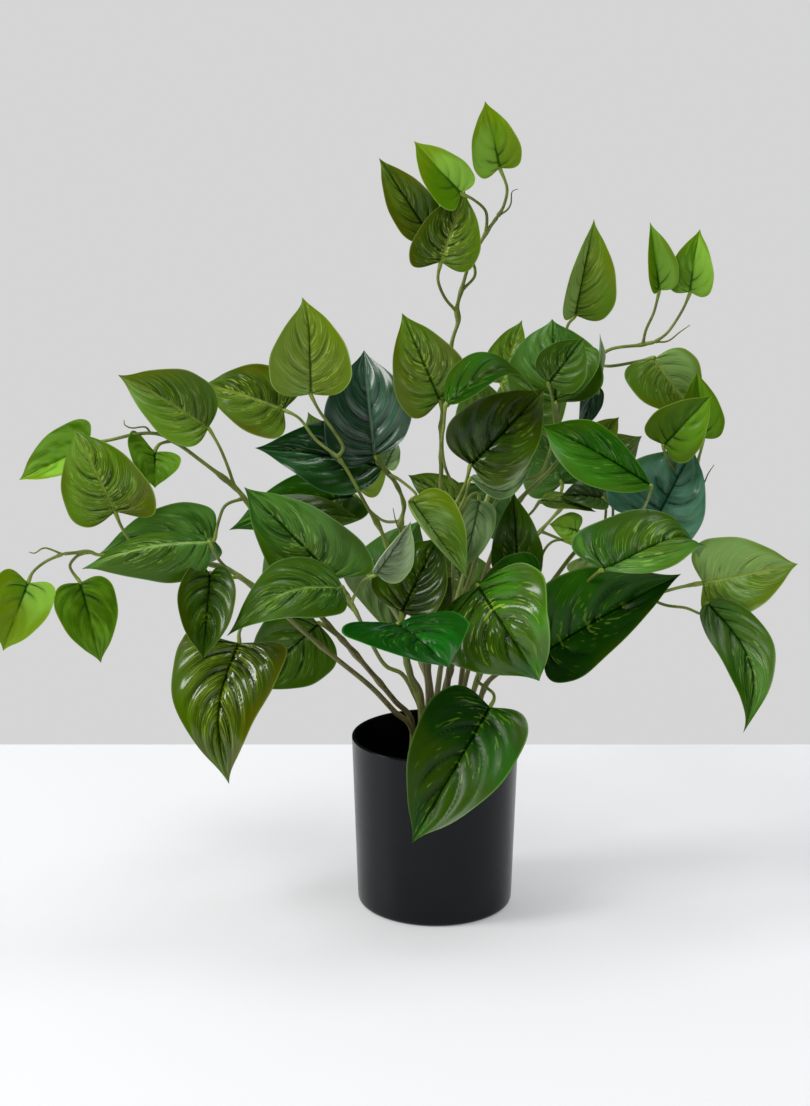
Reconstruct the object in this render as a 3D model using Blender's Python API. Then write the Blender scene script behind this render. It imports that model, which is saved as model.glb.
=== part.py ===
# Potted pothos: a bushy artificial plant whose leafy stems stand in the dark filling of a black pot.
# The frame has +Z up and +Y away from the viewer, and its origin is at the middle of the pot's foot.
# Sizes are in metres, except in the layout of the leaves, which is in millimetres.

import math

import bmesh
import bpy
from mathutils import Matrix, Vector

MM = 0.001

# Pot and filling
POT_HEIGHT = 0.1255
POT_TOP_RADIUS = 0.0600
POT_FOOT_RADIUS = 0.0560
POT_WALL = 0.0022
POT_FLOOR = 0.0030
POT_FOOT_ROUND = 0.0035
POT_SIDES = 32
FILL_TOP = 0.0875
FILL_CROWN = 0.004
FIT_GAP = 0.0004
HOLE_DEPTH = 0.030
HOLE_SIDES = 6
HOLE_ROOF = 0.020

# Leafy stems
STEM_RADIUS = 0.0026
STEM_TIP_RADIUS = 0.0013
STEM_SIDES = 4
STEM_COLLAR = 0.004
STALK_RADIUS = 0.0017
STALK_TIP_RADIUS = 0.0015
STALK_SIDES = 3
STALK_SEAT = 0.16
STALK_LEAD = 0.001
TENDRIL_RADIUS = 0.0009
TENDRIL_TIP_RADIUS = 0.00063
TENDRIL_SIDES = 3
TUBE_PHASE = 0.47
CURVE_STEPS = 8
BLADE_THICKNESS = 0.0009
BLADE_ROWS = (0.09, 0.22, 0.42, 0.62, 0.82)
SMALL_BLADE = 40.0
SMALL_BLADE_ROWS = (0.12, 0.34, 0.60, 0.82)
BLADE_COLUMNS = (-1.0, -0.5, 0.0, 0.5, 1.0)
LOBE_PEAK = 0.1055
DRAWN_START = 0.80
DRAWN_IN = 0.34
HOOK_START = 0.74
CURL_START = 0.66

# The layout is read off a photograph of 810 x 1106 pixels. These say where its eye stands and looks:
# straight along +Y and tilted down, and how many pixels a unit spans at unit distance.
EYE = Vector((-0.0217, -1.43, 0.6085))
EYE_TILT = math.radians(13.7)
EYE_PIXELS = 2085.0
EYE_MIDDLE = (405.0, 553.0)


def seen(across, down, back):
    # The point at photo pixel (across, down) that lies `back` millimetres behind the pot's axis
    right = Vector((1.0, 0.0, 0.0))
    ahead = Vector((0.0, math.cos(EYE_TILT), -math.sin(EYE_TILT)))
    up = Vector((0.0, math.sin(EYE_TILT), math.cos(EYE_TILT)))
    ray = (
        ahead
        + right * ((across - EYE_MIDDLE[0]) / EYE_PIXELS)
        - up * ((down - EYE_MIDDLE[1]) / EYE_PIXELS)
    )
    return EYE + ray * ((back * MM - EYE.y) / ray.y)


# One leaf. base and tip are (pixel across, pixel down, millimetres back) of the two ends of its midrib,
# width is its real breadth in millimetres, bend is how far the left and right halves fold up off the
# midrib (degrees, as seen from the base towards the tip), roll turns the blade about its midrib from
# facing the eye, and arch bows the midrib out of its face, as a share of its length, furthest at peak.
# lobe is how far the margin falls back behind the stalk, one figure or left and right, and wave how much
# it undulates. belly is where the blade is widest, twist turns it on from base to tip (degrees), sway bends
# the midrib sideways (mm), curl bends the tip back (degrees) and hook draws it sideways (mm). stalk lists
# points between the blade and the stem; the last one is drawn onto the stem.
def leaf(base, tip, width, bend=(12, 12), roll=0, arch=0.06, peak=0.5, stalk=(), wave=0.02, lobe=0.26,
         belly=0.4, twist=0, sway=0, curl=0, hook=0):
    if not isinstance(lobe, tuple):
        lobe = (lobe, lobe)
    return dict(base=base, tip=tip, width=width, bend=bend, roll=roll, arch=arch, peak=peak,
                stalk=stalk, wave=wave, lobe=lobe, belly=belly, twist=twist, sway=sway, curl=curl,
                hook=hook)


# The leafy stems. stem lists points from the pot outwards, root is where it stands in the filling
# (millimetres across and back), and tendrils are thin curls that start on the stem.
SPRAYS = dict(
    spray_low_left=dict(
        root=(-17, -9),
        stem=[(412, 730, -9), (394, 711, -15), (370, 686, -25), (333, 656, -42), (302, 630, -52),
              (270, 601, -60),
              (243, 579, -63), (218, 566, -62), (170, 561, -60), (133, 556, -60), (100, 555, -64),
              (88, 552, -66), (62, 554, -70)],
        tendrils=[[(60, 555, -70), (45, 548, -74), (35, 553, -78), (29, 552, -80)]],
        leaves=[
            leaf((28, 583, -76), (3, 651, -84), 44, bend=(14, 18), roll=4, lobe=0.30,
                 stalk=[(33, 572, -76), (45, 562, -73), (62, 554, -70)]),
            leaf((80, 583, -72), (101, 663, -80), 43, bend=(12, 12), roll=-4, lobe=0.20,
                 stalk=[(70, 567, -70), (76, 557, -68), (86, 552, -66)]),
            leaf((115, 512, -64), (75, 430, -52), 60, bend=(16, 14), arch=0.07, lobe=(0.22, 0.42),
                 stalk=[(122, 528, -64), (133, 545, -62), (143, 557, -61)]),
            leaf((208, 542, -74), (82, 569, -94), 52, bend=(-34, -34), roll=30, arch=0.12, lobe=0.10,
                 belly=0.36, stalk=[(215, 554, -70), (226, 567, -63)]),
            leaf((210, 574, -76), (203, 660, -102), 50, bend=(38, 32), arch=0.06, belly=0.50,
                 stalk=[(218, 578, -72), (236, 581, -64)]),
            leaf((239, 643, -66), (229, 784, -96), 79, bend=(14, 12), roll=10, arch=0.11, wave=0.04,
                 lobe=(0.17, 0.24), belly=0.29, sway=9,
                 stalk=[(240, 630, -66), (252, 610, -62), (262, 597, -60)]),
        ],
    ),
    spray_far_left=dict(
        root=(-18, 3),
        stem=[(412, 722, 2), (395, 701, -2), (375, 677, -5), (349, 647, -8), (324, 620, -10),
              (296, 584, -12),
              (266, 536, -14), (246, 501, -18), (232, 485, -20), (200, 460, -24), (175, 442, -27),
              (158, 434, -29), (137, 434, -32), (110, 440, -35), (92, 443, -36)],
        tendrils=[[(150, 434, -30), (145, 427, -32), (132, 428, -34), (125, 425, -35), (124, 420, -35)]],
        leaves=[
            leaf((89, 446, -38), (19, 480, -44), 42, bend=(40, 20), roll=10, arch=0.04, lobe=(0.40, 0.34),
                 stalk=[(86, 446, -37), (93, 443, -36)]),
            leaf((155, 452, -34), (155, 488, -44), 38, bend=(20, 14), lobe=(0.10, 0.80),
                 stalk=[(160, 444, -31), (172, 442, -27)]),
            leaf((213, 539, -38), (97, 555, -42), 54, bend=(-56, 8), roll=14, arch=0.08, lobe=0.22,
                 stalk=[(219, 520, -34), (226, 505, -24), (243, 500, -18)]),
            leaf((208, 428, -16), (118, 375, -26), 54, bend=(16, 22), roll=18, arch=0.07, lobe=0.12,
                 stalk=[(220, 448, -16), (229, 470, -18), (236, 488, -20)]),
            leaf((318, 624, -18), (246, 688, -34), 62, bend=(12, 12), roll=-10, arch=0.05, lobe=0.14,
                 stalk=[(328, 629, -12), (340, 640, -8)]),
        ],
    ),
    spray_mid_left=dict(
        root=(-11, -14),
        stem=[(421, 717, -14), (413, 692, -20), (402, 674, -27), (386, 666, -34), (374, 648, -40),
              (356, 612, -46),
              (344, 590, -50)],
        tendrils=[],
        leaves=[
            leaf((335, 578, -50), (244, 487, -44), 63, bend=(14, 14), arch=0.06, wave=0.03, lobe=0.36,
                 stalk=[(347, 596, -49)]),
            leaf((341, 587, -56), (227, 636, -98), 47, bend=(6, 4), roll=12, arch=0.18, peak=0.55,
                 lobe=0.12, twist=-50, sway=8, stalk=[(345, 592, -50)]),
            leaf((376, 574, -62), (411, 521, -56), 36, bend=(56, 18), roll=14, lobe=0.16,
                 stalk=[(362, 582, -58), (351, 602, -48)]),
            leaf((268, 520, -26), (361, 519, 2), 36, bend=(10, 10), roll=-38, arch=0.08,
                 stalk=[(260, 523, -29), (268, 542, -33), (312, 572, -40), (357, 613, -46)]),
        ],
    ),
    spray_centre=dict(
        root=(-4, -22),
        stem=[(420, 706, -28), (408, 672, -50), (402, 640, -63), (399, 627, -66)],
        tendrils=[],
        leaves=[
            leaf((398, 624, -81), (450, 668, -132), 79, bend=(-8, 16), roll=-27, arch=0.05, wave=0.03,
                 lobe=(0.05, 0.50), stalk=[(400, 632, -72)]),
            leaf((402, 612, -44), (440, 536, -24), 61, bend=(14, 30), roll=-10, lobe=0.14,
                 stalk=[(402, 622, -52), (402, 638, -63)]),
            leaf((414, 614, -32), (452, 577, -21), 37, bend=(10, 16), roll=10,
                 stalk=[(410, 624, -40), (405, 652, -58)]),
        ],
    ),
    spray_upper_left=dict(
        root=(-11, 4),
        stem=[(422, 700, 2), (410, 672, 2), (404, 630, 0), (396, 580, -2), (383, 535, -4),
              (366, 505, -6), (350, 475, -8), (338, 457, -10)],
        tendrils=[],
        leaves=[
            leaf((311, 394, -24), (308, 297, -22), 58, bend=(12, 12), arch=0.05, lobe=0.16,
                 hook=-4, stalk=[(320, 412, -24), (333, 430, -20), (343, 447, -14), (339, 457, -10)]),
            leaf((284, 410, 4), (203, 384, 18), 53, bend=(14, 10), roll=14, arch=0.08, wave=0.04,
                 lobe=0.30, stalk=[(300, 419, 2), (316, 440, -4), (334, 455, -9)]),
        ],
    ),
    spray_upper_mid=dict(
        root=(-8, 14),
        stem=[(428, 700, 14), (424, 660, 14), (414, 600, 14), (404, 550, 16), (401, 524, 18),
              (404, 505, 18), (396, 484, 16), (382, 466, 12), (377, 456, 9)],
        tendrils=[[(402, 536, 17), (396, 522, 14), (393, 508, 12)]],
        leaves=[
            leaf((375, 455, 12), (364, 350, 26), 70, bend=(16, 26), roll=-6, arch=0.05, wave=0.05,
                 lobe=(0.28, 0.10), belly=0.46, stalk=[(377, 459, 11)]),
            leaf((382, 467, 28), (255, 448, 10), 56, bend=(10, 8), roll=16, arch=0.09, wave=0.06,
                 lobe=(0.04, 0.26), stalk=[(392, 476, 18), (397, 486, 16)]),
            leaf((386, 467, 14), (398, 442, 24), 18, bend=(14, 14), roll=-20,
                 stalk=[(386, 470, 14)]),
            leaf((354, 496, 34), (229, 530, 26), 48, bend=(8, 8), roll=26, arch=0.10,
                 stalk=[(368, 509, 32), (384, 521, 26), (402, 521, 18)]),
            leaf((412, 501, -24), (467, 578, -40), 48, bend=(8, 70), roll=0, arch=0.05, lobe=0.16,
                 stalk=[(416, 494, -14), (400, 480, 4), (389, 474, 13)]),
        ],
    ),
    spray_top=dict(
        root=(2, 5),
        stem=[(432, 700, 5), (428, 660, 5), (432, 600, 6), (438, 540, 6), (441, 480, 5), (442, 420, 4),
              (446, 380, 5), (452, 342, 6), (458, 322, 6), (457, 308, 6), (462, 288, 6), (470, 262, 6),
              (482, 240, 5), (488, 230, 4), (498, 216, 3)],
        tendrils=[[(499, 214, 3), (507, 210, 2), (511, 203, 2), (512, 192, 2), (518, 189, 2)]],
        leaves=[
            leaf((500, 168, 0), (485, 101, -4), 35, bend=(10, 14), lobe=(0.28, 0.20),
                 stalk=[(507, 188, 0), (504, 205, 2), (499, 215, 3)]),
            leaf((461, 193, -14), (414, 141, -12), 34, bend=(24, 12), roll=-6, lobe=(0.30, 0.20),
                 stalk=[(474, 200, -8), (486, 212, -2), (486, 232, 4)]),
            leaf((430, 236, 10), (379, 158, 14), 35, bend=(24, 14), lobe=0.14,
                 stalk=[(442, 249, 12), (468, 257, 12), (475, 275, 10), (463, 291, 6)]),
            leaf((441, 262, -8), (465, 191, -2), 47, bend=(12, 12), lobe=(0.38, 0.22),
                 stalk=[(438, 280, -4), (445, 298, 2), (457, 311, 6)]),
            leaf((440, 401, -4), (402, 313, -10), 55, bend=(14, 14), arch=0.06, lobe=0.24,
                 stalk=[(442, 412, 0), (442, 424, 4)]),
        ],
    ),
    spray_mid_top=dict(
        root=(9, 12),
        stem=[(446, 700, 12), (452, 660, 10), (458, 620, 10), (470, 578, 12), (482, 540, 13),
              (494, 505, 14), (512, 484, 15), (538, 476, 17), (549, 455, 18), (556, 425, 16),
              (560, 400, 12)],
        tendrils=[],
        leaves=[
            leaf((447, 404, -46), (539, 396, -28), 56, bend=(4, 18), roll=-60, arch=0.34, lobe=0.10,
                 stalk=[(444, 424, -32), (442, 450, -15), (452, 482, 3), (484, 522, 13)]),
            leaf((502, 383, 38), (522, 320, 50), 34, bend=(12, 40), roll=-4, lobe=0.20,
                 stalk=[(515, 410, 34), (548, 440, 18)]),
            leaf((556, 402, 4), (552, 319, 40), 70, bend=(14, 14), arch=0.05, wave=0.03, lobe=0.20,
                 stalk=[(558, 416, 14)]),
            leaf((549, 383, -24), (584, 338, -14), 38, bend=(20, 10), lobe=0.16,
                 stalk=[(552, 398, -8), (556, 428, 16)]),
            leaf((582, 348, 6), (573, 400, -4), 30, bend=(12, 12), roll=10, lobe=0.20,
                 stalk=[(580, 356, 12), (571, 386, 4), (560, 405, 12)]),
        ],
    ),
    spray_under_top=dict(
        root=(4, -8),
        stem=[(436, 706, -10), (445, 640, -14), (452, 590, -14), (454, 540, -12), (457, 502, -10)],
        tendrils=[],
        leaves=[
            leaf((471, 465, -20), (545, 388, -6), 66, bend=(12, 30), roll=4, arch=0.08, lobe=0.20,
                 stalk=[(466, 482, -14), (457, 504, -10)]),
            leaf((471, 478, -21), (533, 463, -20), 22, bend=(10, 4), roll=-56, arch=-0.40, lobe=0.06,
                 stalk=[(465, 497, -15), (456, 516, -11)]),
            leaf((456, 500, 24), (408, 475, 32), 26, bend=(12, 12), lobe=0.20,
                 stalk=[(460, 506, 10), (455, 524, -11)]),
            leaf((479, 501, 0), (461, 572, -6), 30, bend=(24, 20), roll=-18, lobe=0.16,
                 stalk=[(477, 493, -3), (467, 500, -8), (455, 534, -12)]),
        ],
    ),
    spray_upper_right=dict(
        root=(16, 20),
        stem=[(460, 694, 20), (466, 650, 24), (480, 590, 28), (498, 540, 34), (520, 500, 40),
              (552, 468, 48), (580, 430, 54), (592, 390, 54), (604, 353, 48), (640, 345, 34),
              (655, 342, 28)],
        tendrils=[[(655, 343, 28), (668, 341, 26), (680, 332, 24), (690, 325, 23)]],
        leaves=[
            leaf((575, 315, 44), (594, 219, 36), 52, bend=(60, 4), lobe=0.18,
                 stalk=[(567, 328, 54), (572, 347, 62), (592, 378, 54)]),
            leaf((659, 290, 22), (650, 222, 18), 31, bend=(54, 14), roll=6, lobe=0.16,
                 stalk=[(654, 312, 24), (646, 330, 28), (640, 345, 30)]),
            leaf((690, 292, 22), (700, 229, 16), 33, bend=(14, 14), roll=-8, lobe=0.20,
                 stalk=[(682, 311, 24), (668, 332, 26), (655, 342, 28)]),
            leaf((654, 359, 16), (696, 414, 22), 51, bend=(12, 12), roll=8, arch=0.05, lobe=(0.16, 0.34),
                 stalk=[(640, 361, 20), (612, 366, 36), (599, 366, 50)]),
            leaf((598, 387, 26), (600, 334, 20), 24, bend=(6, 6), roll=80, arch=0.02, lobe=0.10,
                 stalk=[(598, 394, 36), (592, 398, 54)]),
            leaf((594, 384, 38), (579, 431, 32), 20, bend=(14, 14), roll=-30, lobe=0.10,
                 stalk=[(596, 370, 44), (596, 376, 54)]),
        ],
    ),
    spray_right=dict(
        root=(22, 10),
        stem=[(474, 690, 10), (496, 650, 8), (524, 614, 8), (548, 587, 8), (577, 550, 8), (604, 532, 10),
              (640, 522, 14), (676, 510, 18), (692, 496, 18), (699, 480, 16), (697, 460, 12)],
        tendrils=[[(696, 492, 17), (703, 485, 16), (708, 474, 15), (714, 465, 14)]],
        leaves=[
            leaf((703, 438, 6), (697, 371, 2), 33, bend=(12, 14), roll=0, lobe=0.16,
                 stalk=[(701, 450, 9), (697, 462, 12)]),
            leaf((664, 445, -12), (712, 395, -24), 42, bend=(14, 14), lobe=0.22,
                 stalk=[(668, 460, -2), (684, 484, 12), (692, 496, 18)]),
            leaf((657, 518, 2), (694, 447, 8), 84, bend=(12, 40), arch=0.05, wave=0.03, lobe=0.34,
                 stalk=[(664, 521, 10), (670, 516, 16)]),
            leaf((650, 485, -58), (541, 425, -32), 54, bend=(6, 70), roll=28, arch=0.06,
                 lobe=(0.14, 0.08), belly=0.56, stalk=[(650, 494, -44), (640, 512, -6), (614, 530, 10)]),
            leaf((593, 450, 22), (619, 417, 26), 26, bend=(12, 12), roll=-20,
                 stalk=[(600, 470, 20), (612, 500, 14), (612, 530, 11)]),
            leaf((602, 498, 8), (560, 497, 2), 30, bend=(10, 10), roll=44, arch=0.06,
                 stalk=[(606, 508, 9), (602, 532, 10)]),
        ],
    ),
    spray_low_right=dict(
        root=(25, -5),
        stem=[(482, 694, -6), (504, 668, -10), (530, 640, -12), (560, 618, -12), (590, 606, -12),
              (625, 600, -12), (655, 594, -14), (677, 588, -18), (696, 584, -22)],
        tendrils=[],
        leaves=[
            leaf((703, 583, -24), (798, 564, -32), 60, bend=(10, 12), arch=0.07, lobe=0.24,
                 stalk=[(694, 585, -22)]),
            leaf((708, 604, -34), (753, 730, -80), 43, bend=(24, 20), roll=-10, arch=0.10, peak=0.60,
                 lobe=(0.16, 0.10), belly=0.46, sway=-12, hook=7,
                 stalk=[(703, 614, -30), (686, 608, -24), (665, 605, -18), (645, 598, -13)]),
            leaf((603, 569, -72), (710, 540, -42), 78, bend=(4, 22), roll=-42, arch=0.14, peak=0.60,
                 lobe=(0.32, 0.02), belly=0.42, curl=70,
                 stalk=[(596, 574, -60), (584, 586, -36), (572, 613, -12)]),
            leaf((545, 652, -23), (681, 574, -54), 84, bend=(20, 36), roll=-8, arch=0.08, wave=0.05,
                 lobe=(0.04, 0.16), stalk=[(539, 655, -16), (532, 645, -12)]),
        ],
    ),
    spray_front=dict(
        root=(14, -17),
        stem=[(472, 700, -22), (478, 676, -28), (482, 640, -32), (482, 610, -34), (481, 590, -36)],
        tendrils=[],
        leaves=[
            leaf((478, 586, -46), (540, 682, -96), 97, bend=(30, -14), roll=0, arch=0.12, wave=0.03,
                 lobe=(0.04, 0.20), belly=0.42, curl=70, stalk=[(481, 590, -36)]),
            leaf((490, 707, -66), (412, 843, -92), 78, bend=(26, 12), roll=0, arch=0.08, lobe=(0.24, 0.20),
                 stalk=[(494, 699, -62), (492, 692, -52), (478, 684, -28)]),
            leaf((538, 583, -33), (476, 585, -30), 44, bend=(10, 10), roll=2, arch=0.06, lobe=0.20,
                 stalk=[(540, 600, -28), (500, 606, -32), (482, 608, -35)]),
        ],
    ),
    spray_mid_right=dict(
        root=(14, 3),
        stem=[(462, 700, 2), (474, 650, -2), (492, 600, -4), (508, 560, -4), (512, 520, -4),
              (511, 496, -2)],
        tendrils=[],
        leaves=[
            leaf((518, 576, -10), (514, 492, -8), 38, bend=(14, 14), roll=0, lobe=0.18,
                 stalk=[(515, 584, -9), (505, 584, -4)]),
            leaf((541, 501, 2), (596, 512, 0), 22, bend=(10, 10), roll=-56, arch=0.06, lobe=0.10,
                 stalk=[(531, 513, -1), (512, 528, -4)]),
            leaf((578, 531, -6), (549, 524, -8), 24, bend=(12, 12), roll=20,
                 stalk=[(574, 539, -6), (554, 541, -8), (543, 553, -10), (536, 578, -8), (500, 590, -4)]),
        ],
    ),
    spray_back_left=dict(
        root=(-10, 25),
        stem=[(430, 694, 30), (410, 640, 52), (380, 590, 76), (345, 545, 96), (310, 505, 112)],
        tendrils=[],
        leaves=[
            leaf((326, 488, 128), (308, 412, 146), 58, bend=(12, 12), roll=150, arch=0.08,
                 stalk=[(322, 500, 122), (310, 505, 112)]),
            leaf((352, 482, 118), (374, 402, 150), 56, bend=(12, 12), roll=196, arch=0.08,
                 stalk=[(344, 500, 112), (328, 524, 105)]),
            leaf((318, 560, 120), (262, 602, 160), 64, bend=(10, 10), roll=150, arch=0.10,
                 stalk=[(332, 548, 108), (345, 545, 96)]),
            leaf((374, 560, 108), (396, 640, 140), 60, bend=(12, 12), roll=190, arch=0.10,
                 stalk=[(366, 562, 96), (364, 570, 86)]),
            leaf((384, 580, 92), (420, 520, 120), 54, bend=(12, 12), roll=180, arch=0.08,
                 stalk=[(378, 590, 84), (382, 596, 74)]),
        ],
    ),
    spray_back_mid=dict(
        root=(-1, 37),
        stem=[(438, 690, 46), (446, 640, 62), (462, 580, 82), (480, 520, 98), (498, 470, 108),
              (514, 432, 114)],
        tendrils=[],
        leaves=[
            leaf((522, 416, 120), (556, 350, 132), 56, roll=170, arch=0.08,
                 stalk=[(516, 426, 114)]),
            leaf((490, 436, 120), (476, 374, 140), 50, roll=190, arch=0.08,
                 stalk=[(496, 450, 116), (500, 466, 109)]),
            leaf((482, 484, 112), (498, 544, 140), 54, roll=176, arch=0.10,
                 stalk=[(484, 478, 106), (492, 486, 104)]),
        ],
    ),
    spray_back_right=dict(
        root=(7, 27),
        stem=[(444, 692, 34), (464, 640, 58), (492, 590, 84), (524, 550, 104), (556, 514, 120),
              (580, 490, 132)],
        tendrils=[],
        leaves=[
            leaf((590, 482, 136), (642, 436, 156), 58, bend=(12, 12), roll=200, arch=0.08,
                 stalk=[(582, 489, 133)]),
            leaf((562, 484, 138), (536, 410, 158), 60, bend=(12, 12), roll=176, arch=0.08,
                 stalk=[(560, 500, 130), (558, 512, 121)]),
            leaf((592, 554, 126), (652, 590, 150), 60, bend=(10, 10), roll=210, arch=0.10,
                 stalk=[(576, 546, 118), (540, 534, 112)]),
            leaf((508, 592, 104), (492, 672, 136), 62, bend=(12, 12), roll=170, arch=0.10,
                 stalk=[(506, 584, 96), (500, 580, 88)]),
            leaf((470, 598, 96), (442, 540, 122), 52, bend=(12, 12), roll=180, arch=0.08,
                 stalk=[(478, 598, 88), (480, 610, 76)]),
        ],
    ),
)


def material(name, colour, roughness, metallic=0.0):
    made = bpy.data.materials.new(name)
    made.use_nodes = True
    shader = made.node_tree.nodes["Principled BSDF"]
    shader.inputs["Base Color"].default_value = (*colour, 1.0)
    shader.inputs["Roughness"].default_value = roughness
    shader.inputs["Metallic"].default_value = metallic
    return made


def mesh_object(name, points, faces, finish=None):
    mesh = bpy.data.meshes.new(name)
    mesh.from_pydata([tuple(point) for point in points], [], faces)
    mesh.validate()
    made = bpy.data.objects.new(name, mesh)
    if finish:
        mesh.materials.append(finish)
    return made


# A profile of (radius, height) pairs turned once round +Z; ends at radius 0 close on a point
def turned(name, profile, sides, finish):
    points = []
    rings = []
    for radius, height in profile:
        if radius == 0.0:
            rings.append([len(points)] * sides)
            points.append((0.0, 0.0, height))
            continue
        rings.append(list(range(len(points), len(points) + sides)))
        for side in range(sides):
            angle = 2.0 * math.pi * side / sides
            points.append((radius * math.cos(angle), radius * math.sin(angle), height))
    faces = []
    for lower, upper in zip(rings, rings[1:]):
        for side in range(sides):
            after = (side + 1) % sides
            corners = [lower[side], lower[after], upper[after], upper[side]]
            corners = list(dict.fromkeys(corners))
            if len(corners) > 2:
                faces.append(corners)
    return mesh_object(name, points, faces, finish)


def pot():
    slope = (POT_TOP_RADIUS - POT_FOOT_RADIUS) / POT_HEIGHT
    inner_foot = POT_FOOT_RADIUS + slope * POT_FLOOR - POT_WALL
    corner = POT_FOOT_RADIUS - POT_FOOT_ROUND
    profile = [(0.0, 0.0), (corner, 0.0)]
    for step in (1, 2):
        angle = math.radians(45.0 * step)
        profile.append(
            (corner + POT_FOOT_ROUND * math.sin(angle), POT_FOOT_ROUND * (1.0 - math.cos(angle)))
        )
    lip = POT_WALL / 2.0
    profile += [
        (POT_TOP_RADIUS, POT_HEIGHT - lip * 0.6),
        (POT_TOP_RADIUS - lip * 0.4, POT_HEIGHT),
        (POT_TOP_RADIUS - lip * 1.6, POT_HEIGHT),
        (POT_TOP_RADIUS - POT_WALL, POT_HEIGHT - lip * 0.6),
        (inner_foot, POT_FLOOR),
        (0.0, POT_FLOOR),
    ]
    return turned("pot", profile, POT_SIDES, material("black_plastic", (0.012, 0.012, 0.013), 0.42))


def pot_inner_radius(height):
    slope = (POT_TOP_RADIUS - POT_FOOT_RADIUS) / POT_HEIGHT
    return POT_FOOT_RADIUS + slope * height - POT_WALL


# The filling: a plug that is a little higher in its middle, with a plain hole for each stem
def filling():
    round_side = math.cos(math.pi / POT_SIDES)
    low = POT_FLOOR + FIT_GAP
    low_radius = (pot_inner_radius(low) - FIT_GAP) * round_side
    top_radius = (pot_inner_radius(FILL_TOP) - FIT_GAP) * round_side
    profile = [
        (0.0, low),
        (low_radius, low),
        (top_radius, FILL_TOP),
        (top_radius * 0.8, FILL_TOP + FILL_CROWN * 0.6),
        (top_radius * 0.55, FILL_TOP + FILL_CROWN),
        (0.0, FILL_TOP + FILL_CROWN),
    ]
    made = turned("soil", profile, POT_SIDES, material("dark_filling", (0.020, 0.016, 0.013), 0.95))
    bpy.context.collection.objects.link(made)
    holes = bpy.data.collections.new("holes")
    bpy.context.scene.collection.children.link(holes)
    hole_radius = (STEM_RADIUS + FIT_GAP) / math.cos(math.pi / HOLE_SIDES)
    for name, spray in SPRAYS.items():
        across, back = spray["root"]
        floor = FILL_TOP - HOLE_DEPTH - FIT_GAP
        roof = FILL_TOP + HOLE_ROOF
        hole = turned(
            "hole_" + name,
            [(0.0, floor), (hole_radius, floor), (hole_radius, roof), (0.0, roof)],
            HOLE_SIDES,
            None,
        )
        hole.location = (across * MM, back * MM, 0.0)
        holes.objects.link(hole)
    join(made, holes, "DIFFERENCE")
    return made


# Boolean of one object with all the objects of a collection, applied, and the collection removed
def join(made, others, operation):
    modifier = made.modifiers.new("join", "BOOLEAN")
    modifier.operation = operation
    modifier.operand_type = "COLLECTION"
    modifier.collection = others
    modifier.solver = "MANIFOLD"
    bpy.context.view_layer.update()
    evaluated = made.evaluated_get(bpy.context.evaluated_depsgraph_get())
    mesh = bpy.data.meshes.new_from_object(evaluated)
    made.modifiers.clear()
    made.data = mesh
    for other in list(others.objects):
        bpy.data.objects.remove(other)
    bpy.data.collections.remove(others)


# A smooth curve through the given points: Catmull-Rom, with `steps` pieces between neighbours
def smooth(points, steps):
    ends = [points[0] * 2.0 - points[1]] + list(points) + [points[-1] * 2.0 - points[-2]]
    curve = []
    for before, start, stop, after in zip(ends, ends[1:], ends[2:], ends[3:]):
        for step in range(steps):
            t = step / steps
            curve.append(
                0.5 * (2.0 * start + (stop - before) * t
                       + (2.0 * before - 5.0 * start + 4.0 * stop - after) * t * t
                       + (3.0 * start - before - 3.0 * stop + after) * t * t * t)
            )
    curve.append(points[-1].copy())
    return curve


# A tube of a few flat sides along a path, thinning from its first to its last radius
def tube(name, path, first_radius, last_radius, sides):
    points = []
    across = None
    count = len(path)
    for place, point in enumerate(path):
        ahead = (path[min(place + 1, count - 1)] - path[max(place - 1, 0)]).normalized()
        if across is None:
            across = ahead.orthogonal().normalized()
        across = (across - ahead * across.dot(ahead)).normalized()
        up = ahead.cross(across)
        radius = first_radius + (last_radius - first_radius) * place / (count - 1)
        for side in range(sides):
            angle = 2.0 * math.pi * (side + TUBE_PHASE) / sides
            points.append(point + (across * math.cos(angle) + up * math.sin(angle)) * radius)
    faces = [list(range(sides))[::-1], list(range(len(points) - sides, len(points)))]
    for ring in range(count - 1):
        for side in range(sides):
            after = (side + 1) % sides
            low = ring * sides
            high = low + sides
            faces.append([low + side, low + after, high + after, high + side])
    return mesh_object(name, points, faces)


# Where a leaf lies: its base, its length, and the unit vectors along it, to its right and out of its face
def blade_frame(spec):
    base = seen(*spec["base"])
    tip = seen(*spec["tip"])
    along = tip - base
    length = along.length
    along.normalize()
    view = (EYE - (base + tip) / 2.0).normalized()
    face = (view - along * view.dot(along)).normalized()
    face = Matrix.Rotation(math.radians(spec["roll"]), 3, along) @ face
    return base, length, along, along.cross(face), face


# How far the midrib is bowed: 0 at its ends, 1 at the peak, and falling away behind the stalk
def bow(reach, peak):
    if reach <= 0.0:
        return 2.0 * reach
    return math.sin(math.pi * min(reach, 1.0) ** (math.log(0.5) / math.log(peak)))


# From 0 to 1 without a kink at either end
def eased(share):
    share = min(max(share, 0.0), 1.0)
    return share * share * (3.0 - 2.0 * share)


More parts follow.
